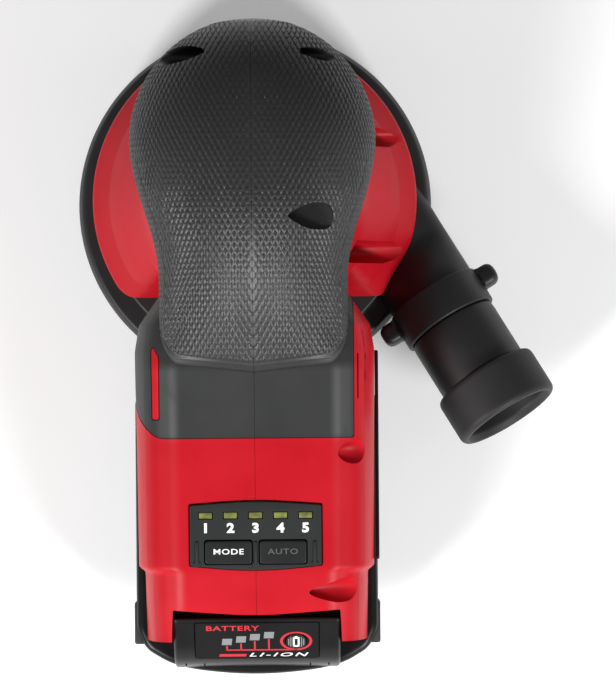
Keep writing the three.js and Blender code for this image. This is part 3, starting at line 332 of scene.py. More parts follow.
class Finish:
    """A material round one Principled shader."""

    def __init__(self, name, **fixed):
        self.material = bpy.data.materials.new(name)
        self.material.use_nodes = True
        self.tree = self.material.node_tree
        self.shader = self.tree.nodes["Principled BSDF"]
        for key, value in fixed.items():
            self.shader.inputs[key.replace("_", " ")].default_value = value

    def node(self, kind, settings=None, inputs=None, output=0):
        """Adds a node: its settings first, then the values or links of its sockets."""
        made = self.tree.nodes.new(kind)
        for key, value in (settings or {}).items():
            setattr(made, key, value)
        for key, value in (inputs or {}).items():
            self.feed(made.inputs[key], value)
        return Wire(self, made.outputs[output])

    def feed(self, socket, value):
        if isinstance(value, Wire):
            self.tree.links.new(value.socket, socket)
        else:
            socket.default_value = value

    def place(self, stretch=(1, 1, 1)):
        """Object coordinates in millimetres, stretched along each axis."""
        coordinates = self.node("ShaderNodeTexCoord", output="Object")
        scale = [1000 * s for s in stretch]
        return self.node("ShaderNodeMapping", inputs={"Vector": coordinates, "Scale": scale})

    def noise(self, size, detail=2.0, stretch=(1, 1, 1), rough=0.5):
        """Noise from about 0 to 1 with features of a size in millimetres."""
        sockets = {
            "Vector": self.place(stretch),
            "Scale": 1 / size,
            "Detail": detail,
            "Roughness": rough,
        }
        return self.node("ShaderNodeTexNoise", inputs=sockets, output="Fac")

    def cells(self, size, feature="F1", stretch=(1, 1, 1)):
        sockets = {"Vector": self.place(stretch), "Scale": 1 / size}
        settings = {"feature": feature}
        return self.node("ShaderNodeTexVoronoi", settings, sockets, output="Distance")

    def blend(self, share, first, second):
        """A colour mixed from two by a share."""
        sockets = {"Factor": share, 6: (*first, 1) if isinstance(first, tuple) else first}
        sockets[7] = (*second, 1) if isinstance(second, tuple) else second
        return self.node("ShaderNodeMix", {"data_type": "RGBA"}, sockets, output=2)

    def wear(self, colour=None, roughness=None, relief=None, depth=0.05, normal=None):
        """Links what varies over the surface; depth is the relief's height in millimetres."""
        if colour is not None:
            self.feed(self.shader.inputs["Base Color"], colour)
        if roughness is not None:
            self.feed(self.shader.inputs["Roughness"], roughness)
        if relief is not None:
            bump = {"Height": relief, "Distance": depth * MM, "Strength": 1.0}
            self.feed(
                self.shader.inputs["Normal"],
                self.node("ShaderNodeBump", inputs=bump, output="Normal"),
            )
        return self.material


def moulded(name, dark, light, rough, grain=0.35, depth=0.02, patch=22.0, **fixed):
    """Moulded plastic or rubber: fine spark grain, faint clouds of colour, handled patches."""
    finish = Finish(name, **{"Specular_IOR_Level": 0.3, **fixed})
    clouds = finish.noise(patch, 3)
    speck = finish.noise(grain, 2)
    scuff = finish.noise(5.0, 4, stretch=(1, 0.35, 1)).between(0.56, 0.72)
    colour = finish.blend(clouds.between(0.3, 0.7), dark, light)
    roughness = rough[0] + clouds * (rough[1] - rough[0]) + speck * 0.06 + scuff * 0.07
    return finish.wear(colour, roughness, speck + scuff * 0.15, depth)


def red_moulding():
    return moulded(
        "red moulding", (0.44, 0.0055, 0.0125), (0.49, 0.0075, 0.0165), (0.30, 0.42), 0.45, 0.012,
        Specular_IOR_Level=0.13,
    )


def grip_rubber():
    return moulded(
        "textured grip rubber", (0.011, 0.011, 0.0115), (0.017, 0.017, 0.0175), (0.37, 0.47), 0.3, 0.012,
        Specular_IOR_Level=0.6,
    )


def band_rubber():
    return moulded(
        "smooth band rubber", (0.016, 0.0165, 0.017), (0.021, 0.0215, 0.022), (0.40, 0.52), 0.28, 0.016
    )


def shroud_plastic():
    return moulded(
        "black glass-filled plastic", (0.009, 0.009, 0.0095), (0.015, 0.015, 0.016), (0.36, 0.50), 0.6, 0.014,
        Specular_IOR_Level=0.4,
    )


def cuff_rubber():
    return moulded(
        "soft cuff rubber", (0.017, 0.017, 0.0175), (0.023, 0.023, 0.024), (0.46, 0.60), 0.4, 0.015
    )


def panel_plastic():
    return moulded(
        "dark panel plastic", (0.017, 0.018, 0.0185), (0.022, 0.023, 0.0235), (0.48, 0.60), 0.22, 0.010,
        Specular_IOR_Level=0.2,
    )


def button_plastic():
    return moulded("button plastic", (0.006, 0.0065, 0.007), (0.010, 0.0105, 0.011), (0.34, 0.46), 0.2, 0.006)


def gauge_film():
    """The gauge's printed label: a dull dark film with a faint weave."""
    return moulded(
        "gauge label film", (0.006, 0.006, 0.0065), (0.009, 0.009, 0.010), (0.55, 0.66), 0.5, 0.008,
        Specular_IOR_Level=0.1,
    )


def gloss_black():
    return moulded(
        "battery gloss black", (0.004, 0.004, 0.0045), (0.007, 0.007, 0.0075), (0.26, 0.36), 0.3, 0.006,
        Specular_IOR_Level=0.22,
    )


def printed(name, colour, worn):
    """Printing ink: an even colour with tiny pinholes and a dull sheen."""
    finish = Finish(name)
    speck = finish.noise(0.25, 3)
    shade = finish.blend(speck.between(0.55, 0.8), colour, worn)
    return finish.wear(shade, 0.45 + speck * 0.2, speck, 0.005)


def machined(name, dark, light, rough, stretch, depth=0.01):
    """Bare metal: long fine tool marks along one way, and faint stains."""
    finish = Finish(name, Metallic=1.0)
    marks = finish.noise(0.5, 3, stretch)
    stain = finish.noise(9.0, 3).between(0.35, 0.75)
    colour = finish.blend(stain, light, dark)
    return finish.wear(colour, rough + marks * 0.18 + stain * 0.1, marks, depth)


def pad_foam_finish():
    """Closed-cell foam: small pores between cell walls, with painted shade darkening the pores and the raised
    walls left paler.
    """
    finish = Finish("pad foam")
    pores_and_shade = finish.cells(0.9)
    clouds = finish.noise(12.0, 3)
    # painted shade: the pore pits are coloured darker than the cell walls around them
    colour = finish.blend(pores_and_shade.between(0.1, 0.7), (0.017, 0.017, 0.018), (0.055, 0.055, 0.058))
    return finish.wear(colour, 0.8 + clouds * 0.15, pores_and_shade, 0.25)


def hook_finish():
    """Hook fastener: close rows of tiny tufts, their raised middles painted paler and the gaps between them
    painted dark as shade.
    """
    finish = Finish("hook face")
    tufts_and_shade = finish.cells(0.8)
    fuzz = finish.noise(0.3, 2)
    # painted shade: the gaps between the tufts are darker, the tufts' raised middles paler
    colour = finish.blend(tufts_and_shade.between(0.15, 0.6), (0.10, 0.10, 0.105), (0.022, 0.022, 0.024))
    return finish.wear(colour, 0.85 + fuzz * 0.1, fuzz - tufts_and_shade, 0.3)


def lens_finish():
    """A diffusing window: olive with brighter yellow-green in the middle and ribs across."""
    finish = Finish("lamp window", Coat_Weight=0.4)
    glow = finish.noise(2.6, 2)
    ribs = finish.noise(0.35, 1, stretch=(1, 0.2, 1))
    colour = finish.blend(glow.between(0.3, 0.7), (0.10, 0.10, 0.035), (0.23, 0.26, 0.045))
    return finish.wear(colour, 0.28 + ribs * 0.15, ribs, 0.04)


def copper_finish():
    """Enamelled wire laid in turns: the grooves between the round wires are painted dark as shade, and the
    wires' crests painted bright as highlight.
    """
    finish = Finish("winding wire", Metallic=0.85)
    turns = finish.node(
        "ShaderNodeTexWave",
        {"wave_type": "BANDS", "bands_direction": "Z"},
        {"Vector": finish.place(), "Scale": 0.7, "Distortion": 0.6, "Detail": 1.0},
        output="Fac",
    )
    tint = finish.noise(4.0, 2)
    # painted shade in the grooves and painted highlight on the crests: the colour follows the same bands as
    # the relief
    colour = finish.blend(turns, (0.16, 0.045, 0.015), (0.62, 0.24, 0.09))
    return finish.wear(colour, 0.25 + tint * 0.15, turns, 0.25)


def board_finish():
    """Solder mask with paler copper tracks under it and tinned pads."""
    finish = Finish("circuit board")
    tracks = finish.cells(3.2, "DISTANCE_TO_EDGE").between(0.05, 0.09)
    pads = finish.cells(2.2).between(0.16, 0.2)
    mask = finish.blend(tracks, (0.03, 0.20, 0.07), (0.008, 0.075, 0.028))
    colour = finish.blend(pads, (0.55, 0.55, 0.5), mask)
    return finish.wear(colour, 0.3 + tracks * 0.1 + pads * 0.1, tracks, 0.05)


def cell_finish():
    """Shrink sleeve over cells: blue film with soft wrinkles, their crests painted lighter and their hollows
    darker as shade.
    """
    finish = Finish("cell sleeve")
    wrinkle_and_shade = finish.noise(3.0, 3, stretch=(1, 0.25, 1))
    # painted shade: the wrinkles' hollows are darker blue, their raised crests lighter
    colour = finish.blend(wrinkle_and_shade.between(0.3, 0.7), (0.016, 0.09, 0.27), (0.03, 0.14, 0.36))
    return finish.wear(colour, 0.24 + wrinkle_and_shade * 0.16, wrinkle_and_shade, 0.12)


FINISHES = {
    "red_plastic": red_moulding(),
    "grip_rubber": grip_rubber(),
    "band_rubber": band_rubber(),
    "black_plastic": shroud_plastic(),
    "dark_plastic": panel_plastic(),
    "steel": machined("ground steel", (0.32, 0.31, 0.30), (0.58, 0.58, 0.59), 0.22, (1, 1, 0.15)),
    "black_steel": machined("blacked steel", (0.02, 0.02, 0.021), (0.05, 0.05, 0.053), 0.34, (1, 1, 1)),
    "aluminium": machined("die-cast metal", (0.40, 0.40, 0.41), (0.64, 0.65, 0.66), 0.38, (1, 1, 1), 0.04),
    "copper": copper_finish(),
    "foam": pad_foam_finish(),
    "hook": hook_finish(),
    "lens": lens_finish(),
    "board": board_finish(),
    "cell": cell_finish(),
    "wire": moulded("lead insulation", (0.010, 0.010, 0.011), (0.02, 0.02, 0.021), (0.35, 0.5), 0.5, 0.01),
}
CUFF_RUBBER = cuff_rubber()
BUTTON_PLASTIC = button_plastic()
GLOSS_BLACK = gloss_black()
GAUGE_FILM = gauge_film()
WHITE_INK = printed("white print", (0.86, 0.86, 0.86), (0.62, 0.62, 0.62))
GREY_INK = printed("grey print", (0.075, 0.077, 0.08), (0.05, 0.05, 0.053))
PALE_INK = printed("pale gauge print", (0.20, 0.205, 0.21), (0.13, 0.135, 0.14))
RED_INK = printed("red gauge print", (0.50, 0.012, 0.022), (0.36, 0.008, 0.016))


# ---- Outer shapes ----


def smooth_step(t):
    t = np.clip(t, 0, 1)
    return t * t * (3 - 2 * t)


def along(points, y, spread=0.0):
    """A value read off [place, value] points that run towards the rear, averaged over a spread."""
    places, values = np.array(points[::-1], float).T
    offsets = np.linspace(-spread, spread, 7)
    return np.mean([np.interp(y + o, places, values) for o in offsets], axis=0)


def palm_half(y):
    nose = np.sqrt(np.clip(PALM_RADIUS**2 - np.clip(y - PALM_Y, 0, None) ** 2, 0, None))
    taper = (PALM_RADIUS - PALM_TAIL_HALF) * smooth_step((PALM_Y - y) / PALM_TAPER)
    return np.where(y > PALM_Y, nose, PALM_RADIUS - taper)


def palm_crest(y):
    back = CREST_Z - CREST_FALL * ((CREST_Y - y) / (CREST_Y - PALM_TAIL_Y)) ** 2
    reach = np.clip((y - CREST_Y) / (NOSE_Y - CREST_Y), 0, 1)
    front = LIP_Z + (CREST_Z - LIP_Z) * (1 - reach**2.2) ** (1 / 2.2)
    return np.where(y < CREST_Y, back, front)


def tail_line(x):
    """The rear edge of the palm in plan: a shallow V with rounded corners."""
    side = np.abs(x)
    corner = 9.0 * np.clip((side - 25) / 7.5, 0, 1) ** 2.2
    return PALM_TAIL_Y + 3.0 * np.clip(side / 26, 0, 1) + corner


def palm_surface(turn, y, inset):
    """The palm at an angle round its section (0 right lip, pi left lip) and a place along y.

    x = half cos^0.9 and z = lip + (crest - lip) sin^0.85, less a valley along the seam.
    """
    half = np.maximum(palm_half(y) - inset, 0.6)
    crest = np.maximum(palm_crest(y) - inset, LIP_Z + 0.8)
    x = half * np.sign(np.cos(turn)) * np.abs(np.cos(turn)) ** 0.9
    z = LIP_Z + (crest - LIP_Z) * np.sin(turn) ** 0.85
    window = smooth_step((50 - y) / 34) * smooth_step((y + 62) / 18)
    return x, z - 1.5 * window * np.exp(-((x / 6.5) ** 2))


SCALE_WIDE = 2.1
SCALE_LONG = 3.8
SCALE_HEIGHT = 0.5
TAIL_BORDER = 3.4


def scales(across, lengthwise):
    """Diamond scales between two crossing sets of grooves; each scale rises towards the tail."""
    a = across / SCALE_WIDE + lengthwise / SCALE_LONG
    b = across / SCALE_WIDE - lengthwise / SCALE_LONG
    first = 1 - np.abs((a % 1) - 0.5) * 2
    second = 1 - np.abs((b % 1) - 0.5) * 2
    groove = np.clip(np.minimum(first, second) * 3.2, 0, 1)
    slant = ((b % 1) + 1 - (a % 1)) / 2
    return groove * (0.55 + 0.45 * slant)


def palm_grip(side):
    """One half of the grip: rings along y, each the outer skin from lip to seam and back inside.

    The scales rise along the surface's own normal, worked out from the grid's neighbours.
    """
    nose = np.sin(np.linspace(1, 0, 200, endpoint=False) * np.pi / 2)
    y = np.concatenate([
        CREST_Y + (NOSE_Y - 0.004 - CREST_Y) * nose,
        np.linspace(CREST_Y, -62, 190),
    ])
    quarter = np.linspace(0, np.pi / 2, 165)
    ys, turns = np.meshgrid(y, quarter, indexing="ij")
    x, z = palm_surface(turns, ys, 0)
    tail = np.clip((-42 - ys) / 20, 0, 1)
    ys = np.where(ys < -42, -42 + tail * (tail_line(x) + 42), ys)
    z = palm_surface(turns, ys, 0)[1]
    from_tail = ys - tail_line(x)
    z = z - 1.5 * (1 - np.sqrt(1 - np.clip(1 - from_tail / 1.6, 0, 1) ** 2))
    points = np.stack([x, ys, z], -1)
    normal = np.cross(np.gradient(points, axis=1), np.gradient(points, axis=0))
    normal /= np.linalg.norm(normal, axis=-1, keepdims=True) + 1e-9
    normal *= np.where(normal[..., 2:].mean() < 0, -1, 1)
    arc = np.cumsum(np.linalg.norm(np.gradient(points, axis=1), axis=-1)[:, ::-1], 1)[:, ::-1]
    edge = smooth_step((from_tail - TAIL_BORDER) / 1.0) * smooth_step((62.2 - ys) / 2)
    low_edge = smooth_step((z - LIP_Z - 0.5) / 1.5)
    relief = scales(arc, ys) * edge * low_edge
    from_side = palm_half(ys) - x
    side_line = np.exp(-(((from_side - 2.7) / 0.35) ** 2)) * smooth_step((18 - ys) / 10) * edge
    seam = np.exp(-((x / 0.7) ** 2))
    ridge = np.exp(-(((from_tail - TAIL_BORDER + 0.7) / 0.45) ** 2))
    lift = SCALE_HEIGHT * (relief - 1) * (1 - seam) - 0.5 * seam + 0.3 * ridge - 0.35 * side_line
    points = points + normal * lift[..., None]
    points[..., 0] = np.maximum(points[..., 0], SEAM)
    rim = points[:, :1]
    under = rim * [1, 1, 0] + [-2.4, 0, PALM_BOTTOM + 0.9]
    bulge = rim * [1, 1, 0] + [-0.7, 0, PALM_BOTTOM + 2.4]
    inner = np.linspace(np.pi / 2, 0, 10)[None] + 0 * ys[:, :10]
    core_x, core_z = palm_surface(inner, y[:, None] + 0 * inner, 9)
    core_y = np.where(y > CREST_Y, CREST_Y + (y - CREST_Y) * 0.84, np.clip(y, -53, None))
    core_z = np.maximum(core_z, PALM_BOTTOM + 0.9)
    core = np.stack([core_x, core_y[:, None] + 0 * core_x, core_z], -1)
    grid = np.concatenate([under, bulge, points, core], axis=1)
    grid[..., 0] = np.maximum(grid[..., 0], SEAM) * side
    return skin("left_grip_skin" if side < 0 else "right_grip_skin", grid)


SKIRT_END_Y = -33.0
SKIRT_END_SHARE = 0.65  # the straight end steps in by this share of what the round side does
SKIRT_STEPS = [
    (0.7, SKIRT_BOTTOM),
    (0.0, SKIRT_BOTTOM + 0.7),
    (0.0, 35.2),
    (0.25, 35.9),
    (0.8, 36.6),
    (5.9, 42.0),
    (6.4, 42.9),
    (6.8, 44.0),
    (10.2, 50.0),
    (16.6, 60.5),
]
WAIST_PROFILE = [
    (3.0, 58.0, 0),
    (WAIST_RADIUS + 5.4, 58.0, 0),
    (WAIST_RADIUS + 1.2, 66.0, 7),
    (WAIST_RADIUS - 1, 80.0, 6),
    (WAIST_RADIUS - 1, 88.4, 0),
    (3.0, 88.4, 0),
]


def skirt():
    """The skirt in plan is a circle cut straight across the back, with rounded corners.

    Rings of it step inwards as they climb: wall, chamfer, then the steep side under the palm.
    """
    rings = []
    for inset, z in SKIRT_STEPS:
        radius = SKIRT_RADIUS - inset
        end = SKIRT_END_Y + SKIRT_END_SHARE * inset - SKIRT_Y
        reach = math.asin(end / radius)
        turn = np.linspace(reach + 0.09, math.pi - reach - 0.09, 180)
        arc = np.c_[radius * np.cos(turn), radius * np.sin(turn)]
        corner = np.array([-radius * math.cos(reach), end])
        soft = np.linspace(0, 1, 9)[1:, None]
        stop = corner + [5.0, 0]
        left = arc[-1] * (1 - soft) ** 2 + corner * 2 * soft * (1 - soft) + stop * soft**2
        right = left[::-1] * [-1, 1]
        outline = np.concatenate([arc, left, right[:-1]])
        rings.append(np.c_[outline + [0, SKIRT_Y], np.full(len(outline), z)])
    return skin("case", np.array(rings))


BODY_TOP = [[-20, 94], [-57, 94], [BAND_REAR, 86.3], [-128, 80], [-140, 76.4], [BODY_REAR, 70.6]]
BODY_SIDE = [
    [-20, 26],
    [-33, 33],
    [-43, 40],
    [-52, BODY_HALF],
    [-127.0, BODY_HALF - 0.4],
    [-128.6, BODY_HALF - 2.6],
    [BODY_REAR, BODY_HALF - 2.9],
]


def body_solid(name, front, rear, bottom, inset=0.0, rings=150):
    """The rear body: sections with a flat crown, a shoulder facet on each side and upright walls.

    Every corner of a section is a quadratic curve, and the sections follow two side lines.
    """
    y = np.linspace(front, rear, rings)
    half = along(BODY_SIDE, y, 0.5) - inset
    top = along(BODY_TOP, y, 1.6) - inset
    narrow = half / BODY_HALF
    right_x = np.stack([half, half, 36.4 * narrow, 27.6 * narrow])
    right_z = np.stack([bottom + 0 * y, top - 15, top - 5, top - 0.5])
    corner_x = np.concatenate([right_x, -right_x[::-1]])
    corner_z = np.concatenate([right_z, right_z[::-1]])
    corners = np.stack([corner_x, corner_z], -1)
    reach = [0, 8, 4.2, 2.6, 2.6, 4.2, 8, 0]
    points = []
    for i in range(8):
        if not reach[i]:
            points.append(corners[i][None])
            continue
        back = corners[i - 1] - corners[i]
        on = corners[i + 1] - corners[i]
        start = corners[i] + back / np.linalg.norm(back, axis=-1, keepdims=True) * reach[i]
        end = corners[i] + on / np.linalg.norm(on, axis=-1, keepdims=True) * reach[i]
        t = np.linspace(0, 1, 9)[:, None, None]
        points.append(start * (1 - t) ** 2 + corners[i] * 2 * t * (1 - t) + end * t**2)
    section = np.concatenate(points).transpose(1, 0, 2)
    grid = np.insert(section, 1, y[:, None], axis=2)
    return skin(name, grid)


def prism(corners, low, high, steps=5, name="cutter", place=None):
    outline = rounded(corners, steps)
    grid = np.array([np.c_[outline, np.full(len(outline), z)] for z in (low, high)])
    return skin(name, grid if place is None else put(grid, place))


def band_outline(shrink):
    return [
        (-60, -30 - shrink, 0),
        (-60, -66 + shrink, 0),
        (-41.6, -70 + shrink, 3),
        (-39.5 + shrink, -76.5 + shrink, 3),
        (-34 + shrink * 0.6, BAND_REAR + shrink, 3),
        (BAND_RIGHT + 1.2 - shrink, BAND_REAR + shrink, 1.0),
        (BAND_RIGHT + 1.2 - shrink, -30 - shrink, 0),
    ]


def band_slot(grow):
    """The narrow slot in the left shoulder of the band that shows the red case."""
    return prism(
        [
            (-35.3 - grow, -75.5 - grow, 0.6),
            (-32.7 + grow, -75.5 - grow, 0.6),
            (-32.5 + grow, -54.0, 0.6),
            (-34.6, -50.4 + grow, 0.4),
            (-35.3 - grow, -51.6, 0.4),
        ],
        50,
        110,
    )


SCREW_WAYS = [(23.0, 44.5, 3.5), (-17.6, 44.5, 3.9)]


def screw_channel(y, z, radius):
    """A round-bottomed trough that falls outwards through the skirt and is open at the top."""
    turn = np.linspace(0, np.pi, 17)
    round_part = np.c_[-radius * np.cos(turn), -(radius + 1.3) * np.sin(turn)]
    outline = np.concatenate([[[-radius, 18.0]], round_part, [[radius, 18.0]]])
    grid = [np.c_[np.full(19, x), outline + [y, z - 0.25 * (x - 47)]] for x in (22.0, 80.0)]
    return skin("cutter", np.array(grid))


def cone_pocket(y, z, tip_x, mouth_x, mouth_radius, tall):
    """A screw's pocket that opens from a point in the crown towards the side wall."""
    turn = np.linspace(0, 2 * np.pi, 48, endpoint=False)
    share = np.linspace(0, 1, 30)[:, None]
    radius = mouth_radius * np.sin(share * np.pi / 2) ** 0.75 + 0.05
    x = tip_x + (mouth_x - tip_x) * share + 0 * turn
    flat = np.stack([x, y + radius * np.cos(turn), z + radius * tall * np.sin(turn)], -1)
    out = flat[-1] + [40, 0, 0]
    return skin("cutter", np.concatenate([flat, out[None]]))


CONE_POCKETS = [(-87.0, 82.4, 26.5, 35.8, 4.3, 1.1), (-134.9, 75.6, 14.5, 37.5, 4.9, 0.95)]


def panel_corners(grow):
    half, end = 22.7 + grow, 12.5 + grow
    return [
        (-half, -end + 2.1, 0.8),
        (0, -end, 12),
        (half, -end + 2.1, 0.8),
        (half, end - 1.7, 0.8),
        (0, end, 12),
        (-half, end - 1.7, 0.8),
    ]


PANEL_PLACE = Matrix.Translation((0, -115.6, 82.12)) @ Matrix.Rotation(math.atan2(3, 23), 4, "X")


def rear_mouth():
    """The opening between the two prongs at the rear, where the battery's gauge stands."""
    right = [(31.0, -180, 0), (29.0, CUT_Y, 0.8)]
    left = [(-x, y, r) for x, y, r in right[::-1]]
    return prism([left[1], *right, (0, CUT_Y - 2.1, 10), left[0]], 40, 100)


def duct(name, inset, start):
    """The dust duct: ellipses across the port's way that grow from a flat slot to a round tube."""
    way = np.array([math.cos(PORT_ANGLE), math.sin(PORT_ANGLE), 0])
    side = np.array([-way[1], way[0], 0])
    flat = SHROUD_DECK - 9.1
    place = np.linspace(start, PORT_START + 0.2, 60)
    grow = smooth_step((place - PORT_START + 20) / 20)
    tall = 9.1 + (PORT_RADIUS - 9.1) * grow - inset
    middle = flat + (PORT_Z - flat) * grow
    turn = np.linspace(0, 2 * np.pi, 72, endpoint=False)
    centre = side * PORT_OFFSET + place[:, None] * way
    grid = centre[:, None] + (PORT_RADIUS - inset) * np.cos(turn)[None, :, None] * side
    grid[..., 2] = middle[:, None] + tall[:, None] * np.sin(turn)
    return skin(name, grid)


def case():
    """The red case as one solid with its recesses, before it is split at the seam."""
    shell = skirt()
    waist = turned("waist", WAIST_PROFILE, 160, (0, SKIRT_Y), 8)
    neck = body_solid("neck", -20, -62, 38, rings=60)
    rear = body_solid("rear", -45, BODY_REAR, BODY_BOTTOM)
    join(shell, waist, neck, rear)
    band = cut(prism(band_outline(0), 55, 130), body_solid("core", -10, -110, 30, 2.0, 80), band_slot(-0.2))
    cut(shell, band)
    cut(shell, *[screw_channel(*way) for way in SCREW_WAYS])
    cut(shell, *[cone_pocket(*pocket) for pocket in CONE_POCKETS])
    cut(shell, rear_mouth(), duct("cutter", -0.4, 0))
    cut(shell, block((-28.6, -190, 56.4), (28.6, -63.4, 62.6)), block((-25.6, -190, 40), (25.6, -63.4, 57)))
    cut(shell, prism(panel_corners(0.35), -5.6, 6, place=PANEL_PLACE))
    cut(shell, block((-8.3, 25, 72.0), (8.3, 60, 81.0)))
    cut(shell, block((35.3, -68.5, 66), (35.7, -53.0, 100)))
    cut(shell, turned("cutter", [(3, 20, 0), (54.8, 20, 0), (54.8, 35.8, 0), (3, 35.8, 0)], 96, (0, SKIRT_Y)))
    for side in (-1, 1):
        cut(shell, rod("cutter", (side * 37.0, -131.5, 70.4), (side * 46, -131.5, 70.4), 1.6))
    return shell


def band():
    """The smooth overmould between the palm and the rear body."""
    cover = body_solid("band_cover", -30, -84, 54)
    keep(cover, prism(band_outline(0.22), 55.3, 130))
    return cut(cover, body_solid("core", -10, -110, 30, 1.7, 80), band_slot(0.1))


def half_of(whole, side, name):
    """One side of a solid: the seam leaves a thin gap between the halves."""
    half = whole.copy()
    half.data = whole.data.copy()
    half.name = name
    bpy.context.scene.collection.objects.link(half)
    low, high = sorted((side * SEAM, side * 100))
    return keep(half, block((low, -200, 0), (high, 100, 150)))


def halves(whole, names, body, slot, crease):
    for side, (name, node) in zip((-1, 1), names):
        build(half_of(whole, side, name), body, FINISHES[slot], (node,), crease)
    bpy.data.objects.remove(whole)


# ---- Shroud and dust port ----

PORT_WAY = Vector((math.cos(PORT_ANGLE), math.sin(PORT_ANGLE), 0))
PORT_SIDE = Vector((-PORT_WAY.y, PORT_WAY.x, 0))
PORT_OUT = Vector((PORT_WAY.x, PORT_WAY.y, math.tan(PORT_RISE))).normalized()
PORT_PLACE = Matrix((PORT_SIDE, PORT_OUT.cross(PORT_SIDE), PORT_OUT)).transposed().to_4x4()
PORT_PLACE.translation = PORT_SIDE * PORT_OFFSET + PORT_WAY * PORT_START + Vector((0, 0, PORT_Z))


def moved(thing, place):
    """Moves a solid's mesh by a millimetre placing matrix."""
    shift = place.copy()
    shift.translation = shift.translation * MM
    thing.data.transform(shift)
    return thing


def shroud():
    """The black cover over the pad, with the duct that leads out from under the skirt."""
    profile = [
        (60.8, SHROUD_BOTTOM, 0.3),
        (SHROUD_RADIUS, SHROUD_BOTTOM, 0.5),
        (SHROUD_RADIUS, 23.9, 1.4),
        (61.4, 27.4, 1.2),
        (54.3, 27.4, 0.4),
        (54.3, SHROUD_DECK, 0.8),
        (14, SHROUD_DECK, 0),
        (14, 33.5, 0),
        (52.1, 33.5, 0),
        (52.1, 25.4, 1),
        (60.8, 24.0, 1),
        (60.8, 20.0, 0),
        (46, 20.0, 0),
        (46, 18.0, 0),
        (60.8, 18.0, 0),
    ]
    cover = turned("shroud_shell", profile, 200)
    outlet = duct("outlet", 0, 14)
    chamber = turned(
        "cutter",
        [(0.5, 0, 0), (60.6, 0, 0), (60.6, 24.5, 0), (52.4, 25.2, 0), (52.4, 33.4, 0), (0.5, 33.4, 0)],
        96,
    )
    cut(outlet, chamber)
    wall = [(12, -0.5, 0), (14, -0.5, 0), (14, 30, 0.6), (12, 30, 0.4)]
    spigot = moved(turned("spigot", wall, 96), PORT_PLACE)
    join(cover, outlet, spigot)
    bore = moved(rod("cutter", (0, 0, -1), (0, 0, 35), 12), PORT_PLACE)
    return cut(cover, duct("cutter", 2.6, 8), bore)


def lock_ring():
    """The twist ring with a thumb lug on each side."""
    wall = [(14.3, 0.6, 0.2), (17.3, 0.6, 0.8), (17.3, 13.4, 0.7), (14.3, 13.4, 0.2)]
    ring = turned("lock_ring_body", wall, 128)
    across = Matrix.Rotation(math.pi / 2, 4, "X")
    for side in (-1, 1):
        x0, x1 = sorted((side * 15.4, side * 23.4))
        inner, outer = (0.2, 3.4) if side > 0 else (3.4, 0.2)
        corners = [(x0, 1.2, inner), (x1, 1.2, outer), (x1, 8.9, outer), (x0, 8.9, inner)]
        join(ring, pillow("lug", corners, -3.9, 3.9, 2.4, 2.4, 7, across))
    return moved(ring, PORT_PLACE)


def hose_adapter():
    profile = [
        (14.3, 13.7, 0.2),
        (16.0, 13.7, 0.5),
        (16.2, 16.0, 1),
        (16.2, 35.2, 0.5),
        (13, 35.2, 0.3),
        (13, 30.8, 0),
        (14.3, 30.8, 0),
    ]
    return moved(turned("hose_adapter_sleeve", profile, 128), PORT_PLACE)


def adapter_cuff():
    profile = [
        (13.5, 35.5, 0),
        (18.3, 35.5, 0.8),
        (19.0, 36.8, 1),
        (19.0, 51.2, 1.2),
        (17.9, 52.5, 0.6),
        (16.6, 52.5, 0.5),
        (15.0, 50.3, 0.8),
        (15.0, 38.5, 0),
    ]
    return moved(turned("adapter_cuff_skin", profile, 144), PORT_PLACE)


# ---- Control panel ----

WINDOW_PLACES = [-17.2, -8.6, 0.0, 8.6, 17.2]
BUTTON_PLACES = {"mode": -9.4, "auto": 9.4}


def panel():
    """The dark panel: five windows, two wells for the buttons, and small posts beside them."""
    face = pillow("control_panel_face", panel_corners(0), -2.4, 0, 0.45, 0.2, 5, PANEL_PLACE)
    for x in WINDOW_PLACES:
        cut(face, prism(box_corners(x - 2.6, x + 2.6, 5.9, 8.5, 0.3), -9, 2, place=PANEL_PLACE))
    for x in BUTTON_PLACES.values():
        cut(face, prism(box_corners(x - 8.45, x + 8.45, -10.05, -1.15, 1.3), -9, 2, place=PANEL_PLACE))
    for x in (-20.3, 0.0, 20.3):
        post = box_corners(x - 0.55, x + 0.55, -9.4, -1.8, 0.3)
        foot = box_corners(x - 1.2, x + 1.2, -10.6, -9.0, 0.3)
        join(face, pillow("post", post, -1, 0.45, 0.25, 0.1, 4, PANEL_PLACE))
        join(face, pillow("foot", foot, -1, 0.3, 0.2, 0.1, 4, PANEL_PLACE))
    return face


def lamp_windows():
    bar = pillow("lamp_windows", box_corners(-20.5, 20.5, 5.2, 9.2, 0.6), -3.9, -2.7, 0.2, 0.2, 4)
    for x in WINDOW_PLACES:
        join(bar, pillow("lamp", box_corners(x - 2.3, x + 2.3, 6.1, 8.3, 0.35), -3.2, -0.15, 0.35, 0.1, 5))
    return moved(bar, PANEL_PLACE)


def panel_button(name, x):
    """A rounded key with a flange below the panel."""
    key = pillow(name + "_key", box_corners(x - 8.1, x + 8.1, -9.7, -1.5, 1.3), -3.2, 0.6, 0.5, 0.1, 6)
    flange = pillow("flange", box_corners(x - 8.9, x + 8.9, -10.5, -0.7, 1.6), -3.6, -2.7, 0.2, 0.1, 4)
    return moved(join(key, flange), PANEL_PLACE)


